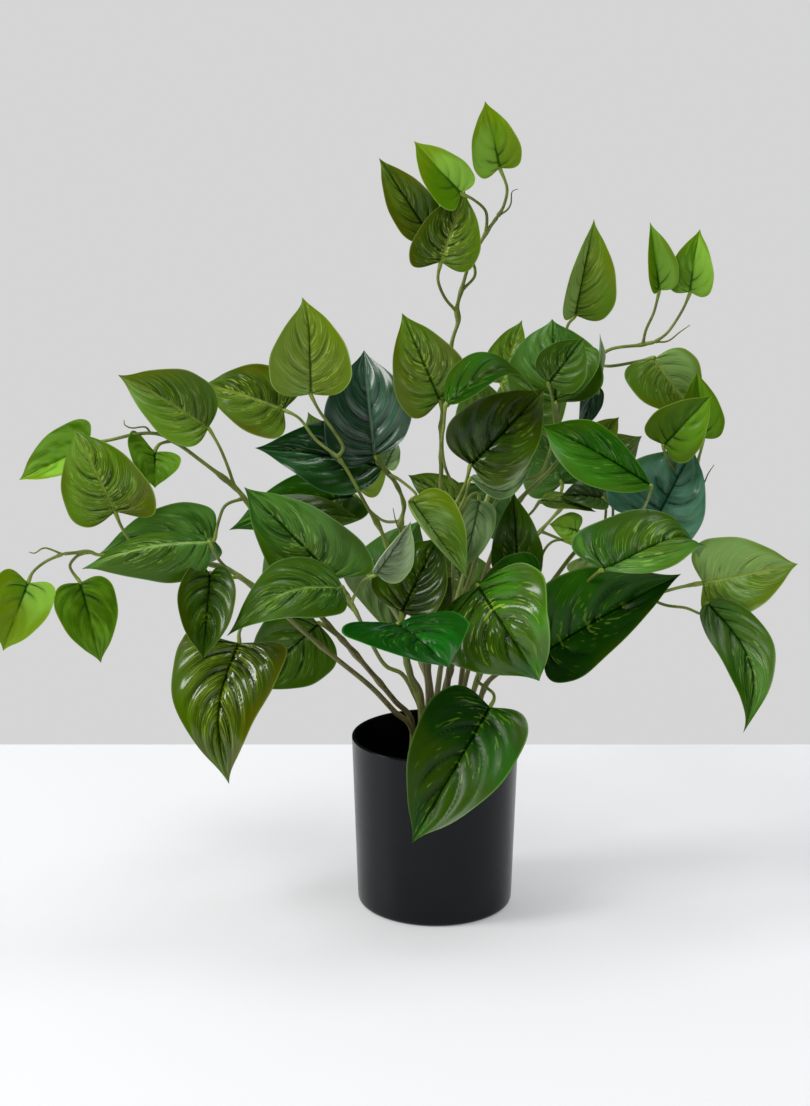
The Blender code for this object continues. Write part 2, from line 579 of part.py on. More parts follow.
# A point of the blade. t runs down it from the stalk to the tip and s across it from -1 to 1. The
# margin is a heart: it swells to its full width at the belly, falls back behind the stalk by the lobe,
# and draws out to a point. Each half is folded off the midrib and a little cupped, and the margin waves.
# All that turns about the midrib by the twist. The midrib sways aside and is bowed towards the face, and
# past CURL_START it bends back round an arc.
def blade_point(spec, frame, t, s):
    base, length, along, right, face = frame
    half = spec["width"] * MM / 2.0
    swell = math.sin(math.pi * t ** (math.log(0.5) / math.log(spec["belly"]))) * (1.0 - 0.35 * t ** 6)
    swell *= 1.0 - DRAWN_IN * eased((t - DRAWN_START) / (1.02 - DRAWN_START))
    hand = 0 if s < 0.0 else 1
    margin = t - spec["lobe"][hand] * t * (1.0 - t) ** 3 / LOBE_PEAK
    rib = t ** 1.6
    out = abs(s)
    reach = rib + (margin - rib) * out ** 1.25
    spread = half * swell * out
    fold = math.radians(spec["bend"][hand]) * (0.75 + 0.4 * out)
    lift = spread * math.sin(fold)
    lift += spec["wave"] * length * out ** 2 * math.sin(9.0 * t + (0.6 if s < 0.0 else 2.1)) * swell
    aside = spread * math.cos(fold) * (-1.0 if s < 0.0 else 1.0)
    turned = math.radians(spec["twist"]) * (t - 0.4)
    aside, lift = (aside * math.cos(turned) - lift * math.sin(turned),
                   aside * math.sin(turned) + lift * math.cos(turned))
    aside += spec["sway"] * MM * math.sin(math.pi * min(max(reach, 0.0), 1.0))
    aside += spec["hook"] * MM * max(0.0, (t - HOOK_START) / (1.0 - HOOK_START)) ** 2
    past = max(reach - CURL_START, 0.0) * length
    tight = (math.radians(spec["curl"]) + 1e-6) / ((1.0 - CURL_START) * length)
    bent = past * tight
    ahead = reach * length - past + math.sin(bent) / tight + lift * math.sin(bent)
    lift = lift * math.cos(bent) - (1.0 - math.cos(bent)) / tight
    lift += spec["arch"] * length * bow(reach, spec["peak"])
    return base + along * ahead + right * aside + face * lift


# A blade with real thickness: the same triangles on both faces, and a rim between them
def blade(name, spec):
    frame = blade_frame(spec)
    stations = SMALL_BLADE_ROWS if spec["width"] < SMALL_BLADE else BLADE_ROWS
    grid = [[blade_point(spec, frame, t, s) for s in BLADE_COLUMNS] for t in stations]
    start = blade_point(spec, frame, 0.0, 0.0)
    end = blade_point(spec, frame, 1.0, 0.0)
    middle = [start] + [point for row in grid for point in row] + [end]
    columns = len(BLADE_COLUMNS)
    rows = len(stations)

    def at(row, column):
        return 1 + row * columns + column

    last = len(middle) - 1
    faces = []
    for column in range(columns - 1):
        faces.append((0, at(0, column), at(0, column + 1)))
        faces.append((last, at(rows - 1, column + 1), at(rows - 1, column)))
    for row in range(rows - 1):
        for column in range(columns - 1):
            a, b = at(row, column), at(row, column + 1)
            c, d = at(row + 1, column + 1), at(row + 1, column)
            faces += [(a, d, b), (b, d, c)] if column < columns // 2 else [(a, d, c), (a, c, b)]
    normals = [Vector() for _ in middle]
    for a, b, c in faces:
        normal = (middle[b] - middle[a]).cross(middle[c] - middle[a])
        for corner in (a, b, c):
            normals[corner] += normal
    offset = [normal.normalized() * (BLADE_THICKNESS / 2.0) for normal in normals]
    count = len(middle)
    points = [m + o for m, o in zip(middle, offset)] + [m - o for m, o in zip(middle, offset)]
    shell = list(faces) + [(a + count, c + count, b + count) for a, b, c in faces]
    rim = [0] + [at(row, 0) for row in range(rows)] + [last]
    rim += [at(row, columns - 1) for row in range(rows - 1, -1, -1)]
    for here, after in zip(rim, rim[1:] + rim[:1]):
        shell += [(here, here + count, after + count), (here, after + count, after)]
    made = mesh_object(name, points, shell)
    outward(made.data)
    return made


def outward(mesh):
    shape = bmesh.new()
    shape.from_mesh(mesh)
    bmesh.ops.recalc_face_normals(shape, faces=shape.faces)
    shape.to_mesh(mesh)
    shape.free()


def nearest(path, point):
    return min(path, key=lambda other: (other - point).length)


# A leafy stem: its stem, tendrils, stalks and blades, joined to one solid
def leafy_stem(name, spray, finish):
    across, back = spray["root"]
    foot = Vector((across * MM, back * MM, FILL_TOP - HOLE_DEPTH))
    collar = foot + Vector((0.0, 0.0, HOLE_DEPTH + FILL_CROWN + STEM_COLLAR))
    route = [collar] + [seen(*point) for point in spray["stem"]]
    fine = smooth(route, CURVE_STEPS)
    made = tube(name, [foot] + route, STEM_RADIUS, STEM_TIP_RADIUS, STEM_SIDES)
    made.data.materials.append(finish)
    bpy.context.collection.objects.link(made)
    pieces = bpy.data.collections.new("pieces")
    bpy.context.scene.collection.children.link(pieces)
    for number, points in enumerate(spray["tendrils"]):
        path = [nearest(fine, seen(*points[0]))] + [seen(*point) for point in points[1:]]
        pieces.objects.link(
            tube(f"tendril_{number}", path, TENDRIL_RADIUS, TENDRIL_TIP_RADIUS, TENDRIL_SIDES)
        )
    for number, spec in enumerate(spray["leaves"]):
        frame = blade_frame(spec)
        base, _, along, _, _ = frame
        stalk = [seen(*point) for point in spec["stalk"]]
        stalk[-1] = nearest(fine, stalk[-1])
        inside = blade_point(spec, frame, STALK_SEAT, 0.0)
        path = [inside, base - along * STALK_LEAD] + stalk
        pieces.objects.link(
            tube(f"stalk_{number}", path, STALK_TIP_RADIUS, STALK_RADIUS, STALK_SIDES)
        )
        pieces.objects.link(blade(f"blade_{number}", spec))
    join(made, pieces, "UNION")
    return made


def build():
    for old in list(bpy.data.objects):
        bpy.data.objects.remove(old)
    bpy.context.collection.objects.link(pot())
    filling()
    finish = material("pothos_green", (0.075, 0.180, 0.030), 0.35)
    for name, spray in SPRAYS.items():
        leafy_stem(name, spray, finish)


build()
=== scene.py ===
# Potted pothos: the looks of an artificial pothos in its black pot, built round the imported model. Moulded
# leaves with grooved veins, wiry stems, the pot, its dark filling, and the studio that it stands in.
# Metres, +Z up and +Y away from the viewer. The layout of the leaves is in photo pixels and millimetres.
import math

import bpy
import numpy as np
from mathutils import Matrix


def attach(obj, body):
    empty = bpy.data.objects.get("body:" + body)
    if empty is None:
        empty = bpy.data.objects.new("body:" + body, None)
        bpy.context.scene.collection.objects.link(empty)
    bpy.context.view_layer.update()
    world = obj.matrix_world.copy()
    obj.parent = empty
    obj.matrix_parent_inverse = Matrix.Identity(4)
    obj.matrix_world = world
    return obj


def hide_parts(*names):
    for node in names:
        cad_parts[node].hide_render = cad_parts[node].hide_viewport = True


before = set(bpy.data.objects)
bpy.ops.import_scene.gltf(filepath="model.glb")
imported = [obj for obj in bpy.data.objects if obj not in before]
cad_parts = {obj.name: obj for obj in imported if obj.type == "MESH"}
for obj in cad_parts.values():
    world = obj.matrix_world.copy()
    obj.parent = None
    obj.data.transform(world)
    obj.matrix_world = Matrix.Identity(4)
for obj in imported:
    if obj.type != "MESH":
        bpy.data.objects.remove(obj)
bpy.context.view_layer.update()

mm = 0.001

# The photo's eye: it looks along +Y, tilted down, and a unit at unit distance spans so many pixels
eye = dict(place=np.array([-0.0217, -1.43, 0.6085]), tilt=math.radians(13.7), pixels=2085.0,
           middle=(405.0, 553.0), tall=1106)


def seen(points):  # photo pixels across and down, and millimetres behind the pot's axis, made metres
    across, down, back = np.array(points, float).reshape(-1, 3).T
    x = (across - eye["middle"][0]) / eye["pixels"]
    y = (eye["middle"][1] - down) / eye["pixels"]
    slope, level = math.sin(eye["tilt"]), math.cos(eye["tilt"])
    ray = np.stack([x, level + y * slope, y * level - slope], axis=1)
    reach = (back * mm - eye["place"][1]) / ray[:, 1]
    return eye["place"] + ray * reach[:, None]


def paint(red, green, blue):  # a paint chip's 0 to 255 values, made linear
    chip = np.array([red, green, blue]) / 255.0
    return (*np.where(chip <= 0.04045, chip / 12.92, ((chip + 0.055) / 1.055) ** 2.4).tolist(), 1.0)


# One leaf. base and tip are the ends of its midrib (pixels across and down, millimetres back), width its
# breadth in mm, bend how far its left and right halves fold up off the midrib (degrees), roll turns it
# about the midrib and twist turns it on from base to tip, arch bows it out of its face by a share of its
# length, furthest at peak, wave undulates the margin, lobe is how far it falls back behind the stalk, left
# and right, belly where it is widest, sway how far the midrib bends sideways (mm), curl how far its tip
# bends back (degrees) and hook how far sideways (mm). stalk runs from the blade to the stem, kind is the
# leaf's green and rib how pale its midrib is.
def leaf(base, tip, width, bend=(12, 12), roll=0, arch=0.06, peak=0.5, stalk=(), wave=0.02, lobe=0.26,
         belly=0.4, twist=0, sway=0, curl=0, hook=0, kind="olive", rib=0.0):
    lobes = lobe if isinstance(lobe, tuple) else (lobe, lobe)
    return dict(base=base, tip=tip, width=width, bend=bend, roll=math.radians(roll), arch=arch, peak=peak,
                stalk=stalk, wave=wave, lobe=lobes, belly=belly, twist=math.radians(twist),
                sway=sway, curl=math.radians(curl), hook=hook, kind=kind, rib=rib)


sprays = dict(
    spray_low_left=dict(
        root=(-17, -9),
        stem=[(412, 730, -9), (394, 711, -15), (370, 686, -25), (333, 656, -42), (302, 630, -52),
              (270, 601, -60), (243, 579, -63), (218, 566, -62), (170, 561, -60), (133, 556, -60),
              (100, 555, -64), (88, 552, -66), (62, 554, -70)],
        tendrils=[[(60, 555, -70), (45, 548, -74), (35, 553, -78), (29, 552, -80)]],
        leaves=[
            leaf((28, 583, -76), (3, 651, -84), 44, bend=(14, 18), roll=4, lobe=0.30,
                 stalk=[(33, 572, -76), (45, 562, -73), (62, 554, -70)], kind="lime"),
            leaf((80, 583, -72), (101, 663, -80), 43, roll=-4, lobe=0.20,
                 stalk=[(70, 567, -70), (76, 557, -68), (86, 552, -66)], kind="young"),
            leaf((115, 512, -64), (75, 430, -52), 60, bend=(16, 14), arch=0.07, lobe=(0.22, 0.42),
                 stalk=[(122, 528, -64), (133, 545, -62), (143, 557, -61)], rib=0.8),
            leaf((208, 542, -74), (82, 569, -94), 52, bend=(-34, -34), roll=30, arch=0.12, lobe=0.10,
                 belly=0.36, stalk=[(215, 554, -70), (226, 567, -63)], kind="meadow", rib=0.8),
            leaf((210, 574, -76), (203, 660, -102), 50, bend=(38, 32), belly=0.50,
                 stalk=[(218, 578, -72), (236, 581, -64)], kind="deepOlive"),
            leaf((239, 643, -66), (229, 784, -96), 79, bend=(14, 12), roll=10, arch=0.11, wave=0.04,
                 lobe=(0.17, 0.24), belly=0.29, sway=9,
                 stalk=[(240, 630, -66), (252, 610, -62), (262, 597, -60)], kind="glossy"),
        ],
    ),
    spray_far_left=dict(
        root=(-18, 3),
        stem=[(412, 722, 2), (395, 701, -2), (375, 677, -5), (349, 647, -8), (324, 620, -10),
              (296, 584, -12), (266, 536, -14), (246, 501, -18), (232, 485, -20), (200, 460, -24),
              (175, 442, -27), (158, 434, -29), (137, 434, -32), (110, 440, -35), (92, 443, -36)],
        tendrils=[[(150, 434, -30), (145, 427, -32), (132, 428, -34), (125, 425, -35), (124, 420, -35)]],
        leaves=[
            leaf((89, 446, -38), (19, 480, -44), 42, bend=(40, 20), roll=10, arch=0.04, lobe=(0.40, 0.34),
                 stalk=[(86, 446, -37), (93, 443, -36)], kind="lime"),
            leaf((155, 452, -34), (155, 488, -44), 38, bend=(20, 14), lobe=(0.10, 0.80),
                 stalk=[(160, 444, -31), (172, 442, -27)], kind="young"),
            leaf((213, 539, -38), (97, 555, -42), 54, bend=(-56, 8), roll=14, arch=0.08, lobe=0.22,
                 stalk=[(219, 520, -34), (226, 505, -24), (243, 500, -18)], kind="meadow", rib=0.8),
            leaf((208, 428, -16), (118, 375, -26), 54, bend=(16, 22), roll=18, arch=0.07, lobe=0.12,
                 stalk=[(220, 448, -16), (229, 470, -18), (236, 488, -20)], rib=0.8),
            leaf((318, 624, -18), (246, 688, -34), 62, roll=-10, arch=0.05, lobe=0.14,
                 stalk=[(328, 629, -12), (340, 640, -8)], kind="meadow"),
        ],
    ),
    spray_mid_left=dict(
        root=(-11, -14),
        stem=[(421, 717, -14), (413, 692, -20), (402, 674, -27), (386, 666, -34), (374, 648, -40),
              (356, 612, -46), (344, 590, -50)],
        leaves=[
            leaf((335, 578, -50), (244, 487, -44), 63, bend=(14, 14), wave=0.03, lobe=0.36,
                 stalk=[(347, 596, -49)], kind="meadow"),
            leaf((341, 587, -56), (227, 636, -98), 47, bend=(6, 4), roll=12, arch=0.18, peak=0.55,
                 lobe=0.12, twist=-50, sway=8, stalk=[(345, 592, -50)], kind="meadow", rib=0.8),
            leaf((376, 574, -62), (411, 521, -56), 36, bend=(56, 18), roll=14, lobe=0.16,
                 stalk=[(362, 582, -58), (351, 602, -48)], kind="paintedSheen"),
            leaf((268, 520, -26), (361, 519, 2), 36, bend=(10, 10), roll=-38, arch=0.08,
                 stalk=[(260, 523, -29), (268, 542, -33), (312, 572, -40), (357, 613, -46)],
                 kind="deepOlive"),
        ],
    ),
    spray_centre=dict(
        root=(-4, -22),
        stem=[(420, 706, -28), (408, 672, -50), (402, 640, -63), (399, 627, -66)],
        leaves=[
            leaf((398, 624, -81), (450, 668, -132), 79, bend=(-8, 16), roll=-27, arch=0.05, wave=0.03,
                 lobe=(0.05, 0.50), stalk=[(400, 632, -72)], kind="emerald"),
            leaf((402, 612, -44), (440, 536, -24), 61, bend=(14, 30), roll=-10, lobe=0.14,
                 stalk=[(402, 622, -52), (402, 638, -63)], kind="deepOlive"),
            leaf((414, 614, -32), (452, 577, -21), 37, bend=(10, 16), roll=10,
                 stalk=[(410, 624, -40), (405, 652, -58)], kind="deepOlive"),
        ],
    ),
    spray_upper_left=dict(
        root=(-11, 4),
        stem=[(422, 700, 2), (410, 672, 2), (404, 630, 0), (396, 580, -2), (383, 535, -4), (366, 505, -6),
              (350, 475, -8), (338, 457, -10)],
        leaves=[
            leaf((311, 394, -24), (308, 297, -22), 58, arch=0.05, lobe=0.16, hook=-4,
                 stalk=[(320, 412, -24), (333, 430, -20), (343, 447, -14), (339, 457, -10)],
                 kind="light"),
            leaf((284, 410, 4), (203, 384, 18), 53, bend=(14, 10), roll=14, arch=0.08, wave=0.04,
                 lobe=0.30, stalk=[(300, 419, 2), (316, 440, -4), (334, 455, -9)], kind="mossAndShade", rib=0.8),
        ],
    ),
    spray_upper_mid=dict(
        root=(-8, 14),
        stem=[(428, 700, 14), (424, 660, 14), (414, 600, 14), (404, 550, 16), (401, 524, 18),
              (404, 505, 18), (396, 484, 16), (382, 466, 12), (377, 456, 9)],
        tendrils=[[(402, 536, 17), (396, 522, 14), (393, 508, 12)]],
        leaves=[
            leaf((375, 455, 12), (364, 350, 26), 70, bend=(16, 26), roll=-6, arch=0.05, wave=0.05,
                 lobe=(0.28, 0.10), belly=0.46, stalk=[(377, 459, 11)], kind="teal", rib=0.8),
            leaf((382, 467, 28), (255, 448, 10), 56, bend=(10, 8), roll=16, arch=0.09, wave=0.06,
                 lobe=(0.04, 0.26), stalk=[(392, 476, 18), (397, 486, 16)], kind="deep"),
            leaf((386, 467, 14), (398, 442, 24), 18, bend=(14, 14), roll=-20, stalk=[(386, 470, 14)],
                 kind="pale"),
            leaf((354, 496, 34), (229, 530, 26), 48, bend=(8, 8), roll=26, arch=0.10,
                 stalk=[(368, 509, 32), (384, 521, 26), (402, 521, 18)], kind="forest"),
            leaf((412, 501, -24), (467, 578, -40), 48, bend=(8, 70), arch=0.05, lobe=0.16,
                 stalk=[(416, 494, -14), (400, 480, 4), (389, 474, 13)], kind="light"),
        ],
    ),
    spray_top=dict(
        root=(2, 5),
        stem=[(432, 700, 5), (428, 660, 5), (432, 600, 6), (438, 540, 6), (441, 480, 5), (442, 420, 4),
              (446, 380, 5), (452, 342, 6), (458, 322, 6), (457, 308, 6), (462, 288, 6), (470, 262, 6),
              (482, 240, 5), (488, 230, 4), (498, 216, 3)],
        tendrils=[[(499, 214, 3), (507, 210, 2), (511, 203, 2), (512, 192, 2), (518, 189, 2)]],
        leaves=[
            leaf((500, 168, 0), (485, 101, -4), 35, bend=(10, 14), lobe=(0.28, 0.20),
                 stalk=[(507, 188, 0), (504, 205, 2), (499, 215, 3)], kind="lime"),
            leaf((461, 193, -14), (414, 141, -12), 34, bend=(24, 12), roll=-6, lobe=(0.30, 0.20),
                 stalk=[(474, 200, -8), (486, 212, -2), (486, 232, 4)], kind="lime"),
            leaf((430, 236, 10), (379, 158, 14), 35, bend=(24, 14), lobe=0.14,
                 stalk=[(442, 249, 12), (468, 257, 12), (475, 275, 10), (463, 291, 6)], kind="mossAndShade"),
            leaf((441, 262, -8), (465, 191, -2), 47, lobe=(0.38, 0.22),
                 stalk=[(438, 280, -4), (445, 298, 2), (457, 311, 6)], kind="mossAndShade", rib=0.8),
            leaf((440, 401, -4), (402, 313, -10), 55, bend=(14, 14), lobe=0.24,
                 stalk=[(442, 412, 0), (442, 424, 4)]),
        ],
    ),
    spray_mid_top=dict(
        root=(9, 12),
        stem=[(446, 700, 12), (452, 660, 10), (458, 620, 10), (470, 578, 12), (482, 540, 13),
              (494, 505, 14), (512, 484, 15), (538, 476, 17), (549, 455, 18), (556, 425, 16),
              (560, 400, 12)],
        leaves=[
            leaf((447, 404, -46), (539, 396, -28), 56, bend=(4, 18), roll=-60, arch=0.34, lobe=0.10,
                 stalk=[(444, 424, -32), (442, 450, -15), (452, 482, 3), (484, 522, 13)], kind="forest"),
            leaf((502, 383, 38), (522, 320, 50), 34, bend=(12, 40), roll=-4, lobe=0.20,
                 stalk=[(515, 410, 34), (548, 440, 18)], rib=0.8),
            leaf((556, 402, 4), (552, 319, 40), 70, bend=(14, 14), arch=0.05, wave=0.03, lobe=0.20,
                 stalk=[(558, 416, 14)], kind="meadow"),
            leaf((549, 383, -24), (584, 338, -14), 38, bend=(20, 10), lobe=0.16,
                 stalk=[(552, 398, -8), (556, 428, 16)], kind="meadow"),
            leaf((582, 348, 6), (573, 400, -4), 30, roll=10, lobe=0.20,
                 stalk=[(580, 356, 12), (571, 386, 4), (560, 405, 12)], kind="meadow"),
        ],
    ),
    spray_under_top=dict(
        root=(4, -8),
        stem=[(436, 706, -10), (445, 640, -14), (452, 590, -14), (454, 540, -12), (457, 502, -10)],
        leaves=[
            leaf((471, 465, -20), (545, 388, -6), 66, bend=(12, 30), roll=4, arch=0.08, lobe=0.20,
                 stalk=[(466, 482, -14), (457, 504, -10)], kind="deepOlive"),
            leaf((471, 478, -21), (533, 463, -20), 22, bend=(10, 4), roll=-56, arch=-0.40, lobe=0.06,
                 stalk=[(465, 497, -15), (456, 516, -11)], kind="pale"),
            leaf((456, 500, 24), (408, 475, 32), 26, lobe=0.20, stalk=[(460, 506, 10), (455, 524, -11)]),
            leaf((479, 501, 0), (461, 572, -6), 30, bend=(24, 20), roll=-18, lobe=0.16,
                 stalk=[(477, 493, -3), (467, 500, -8), (455, 534, -12)], kind="pale"),
        ],
    ),
    spray_upper_right=dict(
        root=(16, 20),
        stem=[(460, 694, 20), (466, 650, 24), (480, 590, 28), (498, 540, 34), (520, 500, 40),
              (552, 468, 48), (580, 430, 54), (592, 390, 54), (604, 353, 48), (640, 345, 34),
              (655, 342, 28)],
        tendrils=[[(655, 343, 28), (668, 341, 26), (680, 332, 24), (690, 325, 23)]],
        leaves=[
            leaf((575, 315, 44), (594, 219, 36), 52, bend=(60, 4), lobe=0.18,
                 stalk=[(567, 328, 54), (572, 347, 62), (592, 378, 54)], kind="paintedSunlit"),
            leaf((659, 290, 22), (650, 222, 18), 31, bend=(54, 14), roll=6, lobe=0.16,
                 stalk=[(654, 312, 24), (646, 330, 28), (640, 345, 30)], kind="lime"),
            leaf((690, 292, 22), (700, 229, 16), 33, bend=(14, 14), roll=-8, lobe=0.20,
                 stalk=[(682, 311, 24), (668, 332, 26), (655, 342, 28)], kind="lime"),
            leaf((654, 359, 16), (696, 414, 22), 51, roll=8, arch=0.05, lobe=(0.16, 0.34),
                 stalk=[(640, 361, 20), (612, 366, 36), (599, 366, 50)], kind="light", rib=0.8),
            leaf((598, 387, 26), (600, 334, 20), 24, bend=(6, 6), roll=80, arch=0.02, lobe=0.10,
                 stalk=[(598, 394, 36), (592, 398, 54)], kind="pale"),
            leaf((594, 384, 38), (579, 431, 32), 20, bend=(14, 14), roll=-30, lobe=0.10,
                 stalk=[(596, 370, 44), (596, 376, 54)], kind="teal"),
        ],
    ),
    spray_right=dict(
        root=(22, 10),
        stem=[(474, 690, 10), (496, 650, 8), (524, 614, 8), (548, 587, 8), (577, 550, 8), (604, 532, 10),
              (640, 522, 14), (676, 510, 18), (692, 496, 18), (699, 480, 16), (697, 460, 12)],
        tendrils=[[(696, 492, 17), (703, 485, 16), (708, 474, 15), (714, 465, 14)]],
        leaves=[
            leaf((703, 438, 6), (697, 371, 2), 33, bend=(12, 14), lobe=0.16,
                 stalk=[(701, 450, 9), (697, 462, 12)], kind="young"),
            leaf((664, 445, -12), (712, 395, -24), 42, bend=(14, 14), lobe=0.22,
                 stalk=[(668, 460, -2), (684, 484, 12), (692, 496, 18)], kind="young"),
            leaf((657, 518, 2), (694, 447, 8), 84, bend=(12, 40), arch=0.05, wave=0.03, lobe=0.34,
                 stalk=[(664, 521, 10), (670, 516, 16)], kind="bluish"),
            leaf((650, 485, -58), (541, 425, -32), 54, bend=(6, 70), roll=28, lobe=(0.14, 0.08),
                 belly=0.56, stalk=[(650, 494, -44), (640, 512, -6), (614, 530, 10)], kind="bright"),
            leaf((593, 450, 22), (619, 417, 26), 26, roll=-20,
                 stalk=[(600, 470, 20), (612, 500, 14), (612, 530, 11)]),
            leaf((602, 498, 8), (560, 497, 2), 30, bend=(10, 10), roll=44,
                 stalk=[(606, 508, 9), (602, 532, 10)], kind="deepOlive"),
        ],
    ),
    spray_low_right=dict(
        root=(25, -5),
        stem=[(482, 694, -6), (504, 668, -10), (530, 640, -12), (560, 618, -12), (590, 606, -12),
              (625, 600, -12), (655, 594, -14), (677, 588, -18), (696, 584, -22)],
        leaves=[
            leaf((703, 583, -24), (798, 564, -32), 60, bend=(10, 12), arch=0.07, lobe=0.24,
                 stalk=[(694, 585, -22)], kind="light", rib=0.8),
            leaf((708, 604, -34), (753, 730, -80), 43, bend=(24, 20), roll=-10, arch=0.10, peak=0.60,
                 lobe=(0.16, 0.10), belly=0.46, sway=-12, hook=7,
                 stalk=[(703, 614, -30), (686, 608, -24), (665, 605, -18), (645, 598, -13)],
                 kind="meadow"),
            leaf((603, 569, -72), (710, 540, -42), 78, bend=(4, 22), roll=-42, arch=0.14, peak=0.60,
                 lobe=(0.32, 0.02), belly=0.42, curl=70,
                 stalk=[(596, 574, -60), (584, 586, -36), (572, 613, -12)], kind="meadow"),
            leaf((545, 652, -23), (681, 574, -54), 84, bend=(20, 36), roll=-8, arch=0.08, wave=0.05,
                 lobe=(0.04, 0.16), stalk=[(539, 655, -16), (532, 645, -12)], kind="forest"),
        ],
    ),
    spray_front=dict(
        root=(14, -17),
        stem=[(472, 700, -22), (478, 676, -28), (482, 640, -32), (482, 610, -34), (481, 590, -36)],
        leaves=[
            leaf((478, 586, -46), (540, 682, -96), 97, bend=(30, -14), arch=0.12, wave=0.03,
                 lobe=(0.04, 0.20), belly=0.42, curl=70, stalk=[(481, 590, -36)], kind="wet"),
            leaf((490, 707, -66), (412, 843, -92), 78, bend=(26, 12), arch=0.08, lobe=(0.24, 0.20),
                 stalk=[(494, 699, -62), (492, 692, -52), (478, 684, -28)], kind="forest"),
            leaf((538, 583, -33), (476, 585, -30), 44, bend=(10, 10), roll=2, lobe=0.20,
                 stalk=[(540, 600, -28), (500, 606, -32), (482, 608, -35)], kind="forest"),
        ],
    ),
    spray_mid_right=dict(
        root=(14, 3),
        stem=[(462, 700, 2), (474, 650, -2), (492, 600, -4), (508, 560, -4), (512, 520, -4),
              (511, 496, -2)],
        leaves=[
            leaf((518, 576, -10), (514, 492, -8), 38, bend=(14, 14), lobe=0.18,
                 stalk=[(515, 584, -9), (505, 584, -4)], kind="deepOlive"),
            leaf((541, 501, 2), (596, 512, 0), 22, bend=(10, 10), roll=-56, lobe=0.10,
                 stalk=[(531, 513, -1), (512, 528, -4)]),
            leaf((578, 531, -6), (549, 524, -8), 24, roll=20,
                 stalk=[(574, 539, -6), (554, 541, -8), (543, 553, -10), (536, 578, -8), (500, 590, -4)],
                 kind="lime"),
        ],
    ),
    spray_back_left=dict(
        root=(-10, 25),
        stem=[(430, 694, 30), (410, 640, 52), (380, 590, 76), (345, 545, 96), (310, 505, 112)],
        leaves=[
            leaf((326, 488, 128), (308, 412, 146), 58, roll=150, arch=0.08,
                 stalk=[(322, 500, 122), (310, 505, 112)], kind="deepOlive"),
            leaf((352, 482, 118), (374, 402, 150), 56, roll=196, arch=0.08,
                 stalk=[(344, 500, 112), (328, 524, 105)]),
            leaf((318, 560, 120), (262, 602, 160), 64, bend=(10, 10), roll=150, arch=0.10,
                 stalk=[(332, 548, 108), (345, 545, 96)], kind="deepOlive"),
            leaf((374, 560, 108), (396, 640, 140), 60, roll=190, arch=0.10,
                 stalk=[(366, 562, 96), (364, 570, 86)], kind="deepOlive"),
            leaf((384, 580, 92), (420, 520, 120), 54, roll=180, arch=0.08,
                 stalk=[(378, 590, 84), (382, 596, 74)], kind="forest"),
        ],
    ),
    spray_back_mid=dict(
        root=(-1, 37),
        stem=[(438, 690, 46), (446, 640, 62), (462, 580, 82), (480, 520, 98), (498, 470, 108),
              (514, 432, 114)],
        leaves=[
            leaf((522, 416, 120), (556, 350, 132), 56, roll=170, arch=0.08, stalk=[(516, 426, 114)],
                 kind="deepOlive"),
            leaf((490, 436, 120), (476, 374, 140), 50, roll=190, arch=0.08,
                 stalk=[(496, 450, 116), (500, 466, 109)], kind="deepOlive"),
            leaf((482, 484, 112), (498, 544, 140), 54, roll=176, arch=0.10,
                 stalk=[(484, 478, 106), (492, 486, 104)], kind="forest"),
        ],
    ),
    spray_back_right=dict(
        root=(7, 27),
        stem=[(444, 692, 34), (464, 640, 58), (492, 590, 84), (524, 550, 104), (556, 514, 120),
              (580, 490, 132)],
        leaves=[
            leaf((590, 482, 136), (642, 436, 156), 58, roll=200, arch=0.08, stalk=[(582, 489, 133)],
                 kind="deepOlive"),
            leaf((562, 484, 138), (536, 410, 158), 60, roll=176, arch=0.08,
                 stalk=[(560, 500, 130), (558, 512, 121)], kind="forest"),
            leaf((592, 554, 126), (652, 590, 150), 60, bend=(10, 10), roll=210, arch=0.10,
                 stalk=[(576, 546, 118), (540, 534, 112)]),
            leaf((508, 592, 104), (492, 672, 136), 62, roll=170, arch=0.10,
                 stalk=[(506, 584, 96), (500, 580, 88)], kind="deepOlive"),
            leaf((470, 598, 96), (442, 540, 122), 52, roll=180, arch=0.08,
                 stalk=[(478, 598, 88), (480, 610, 76)], kind="deepOlive"),
        ],
    ),
)


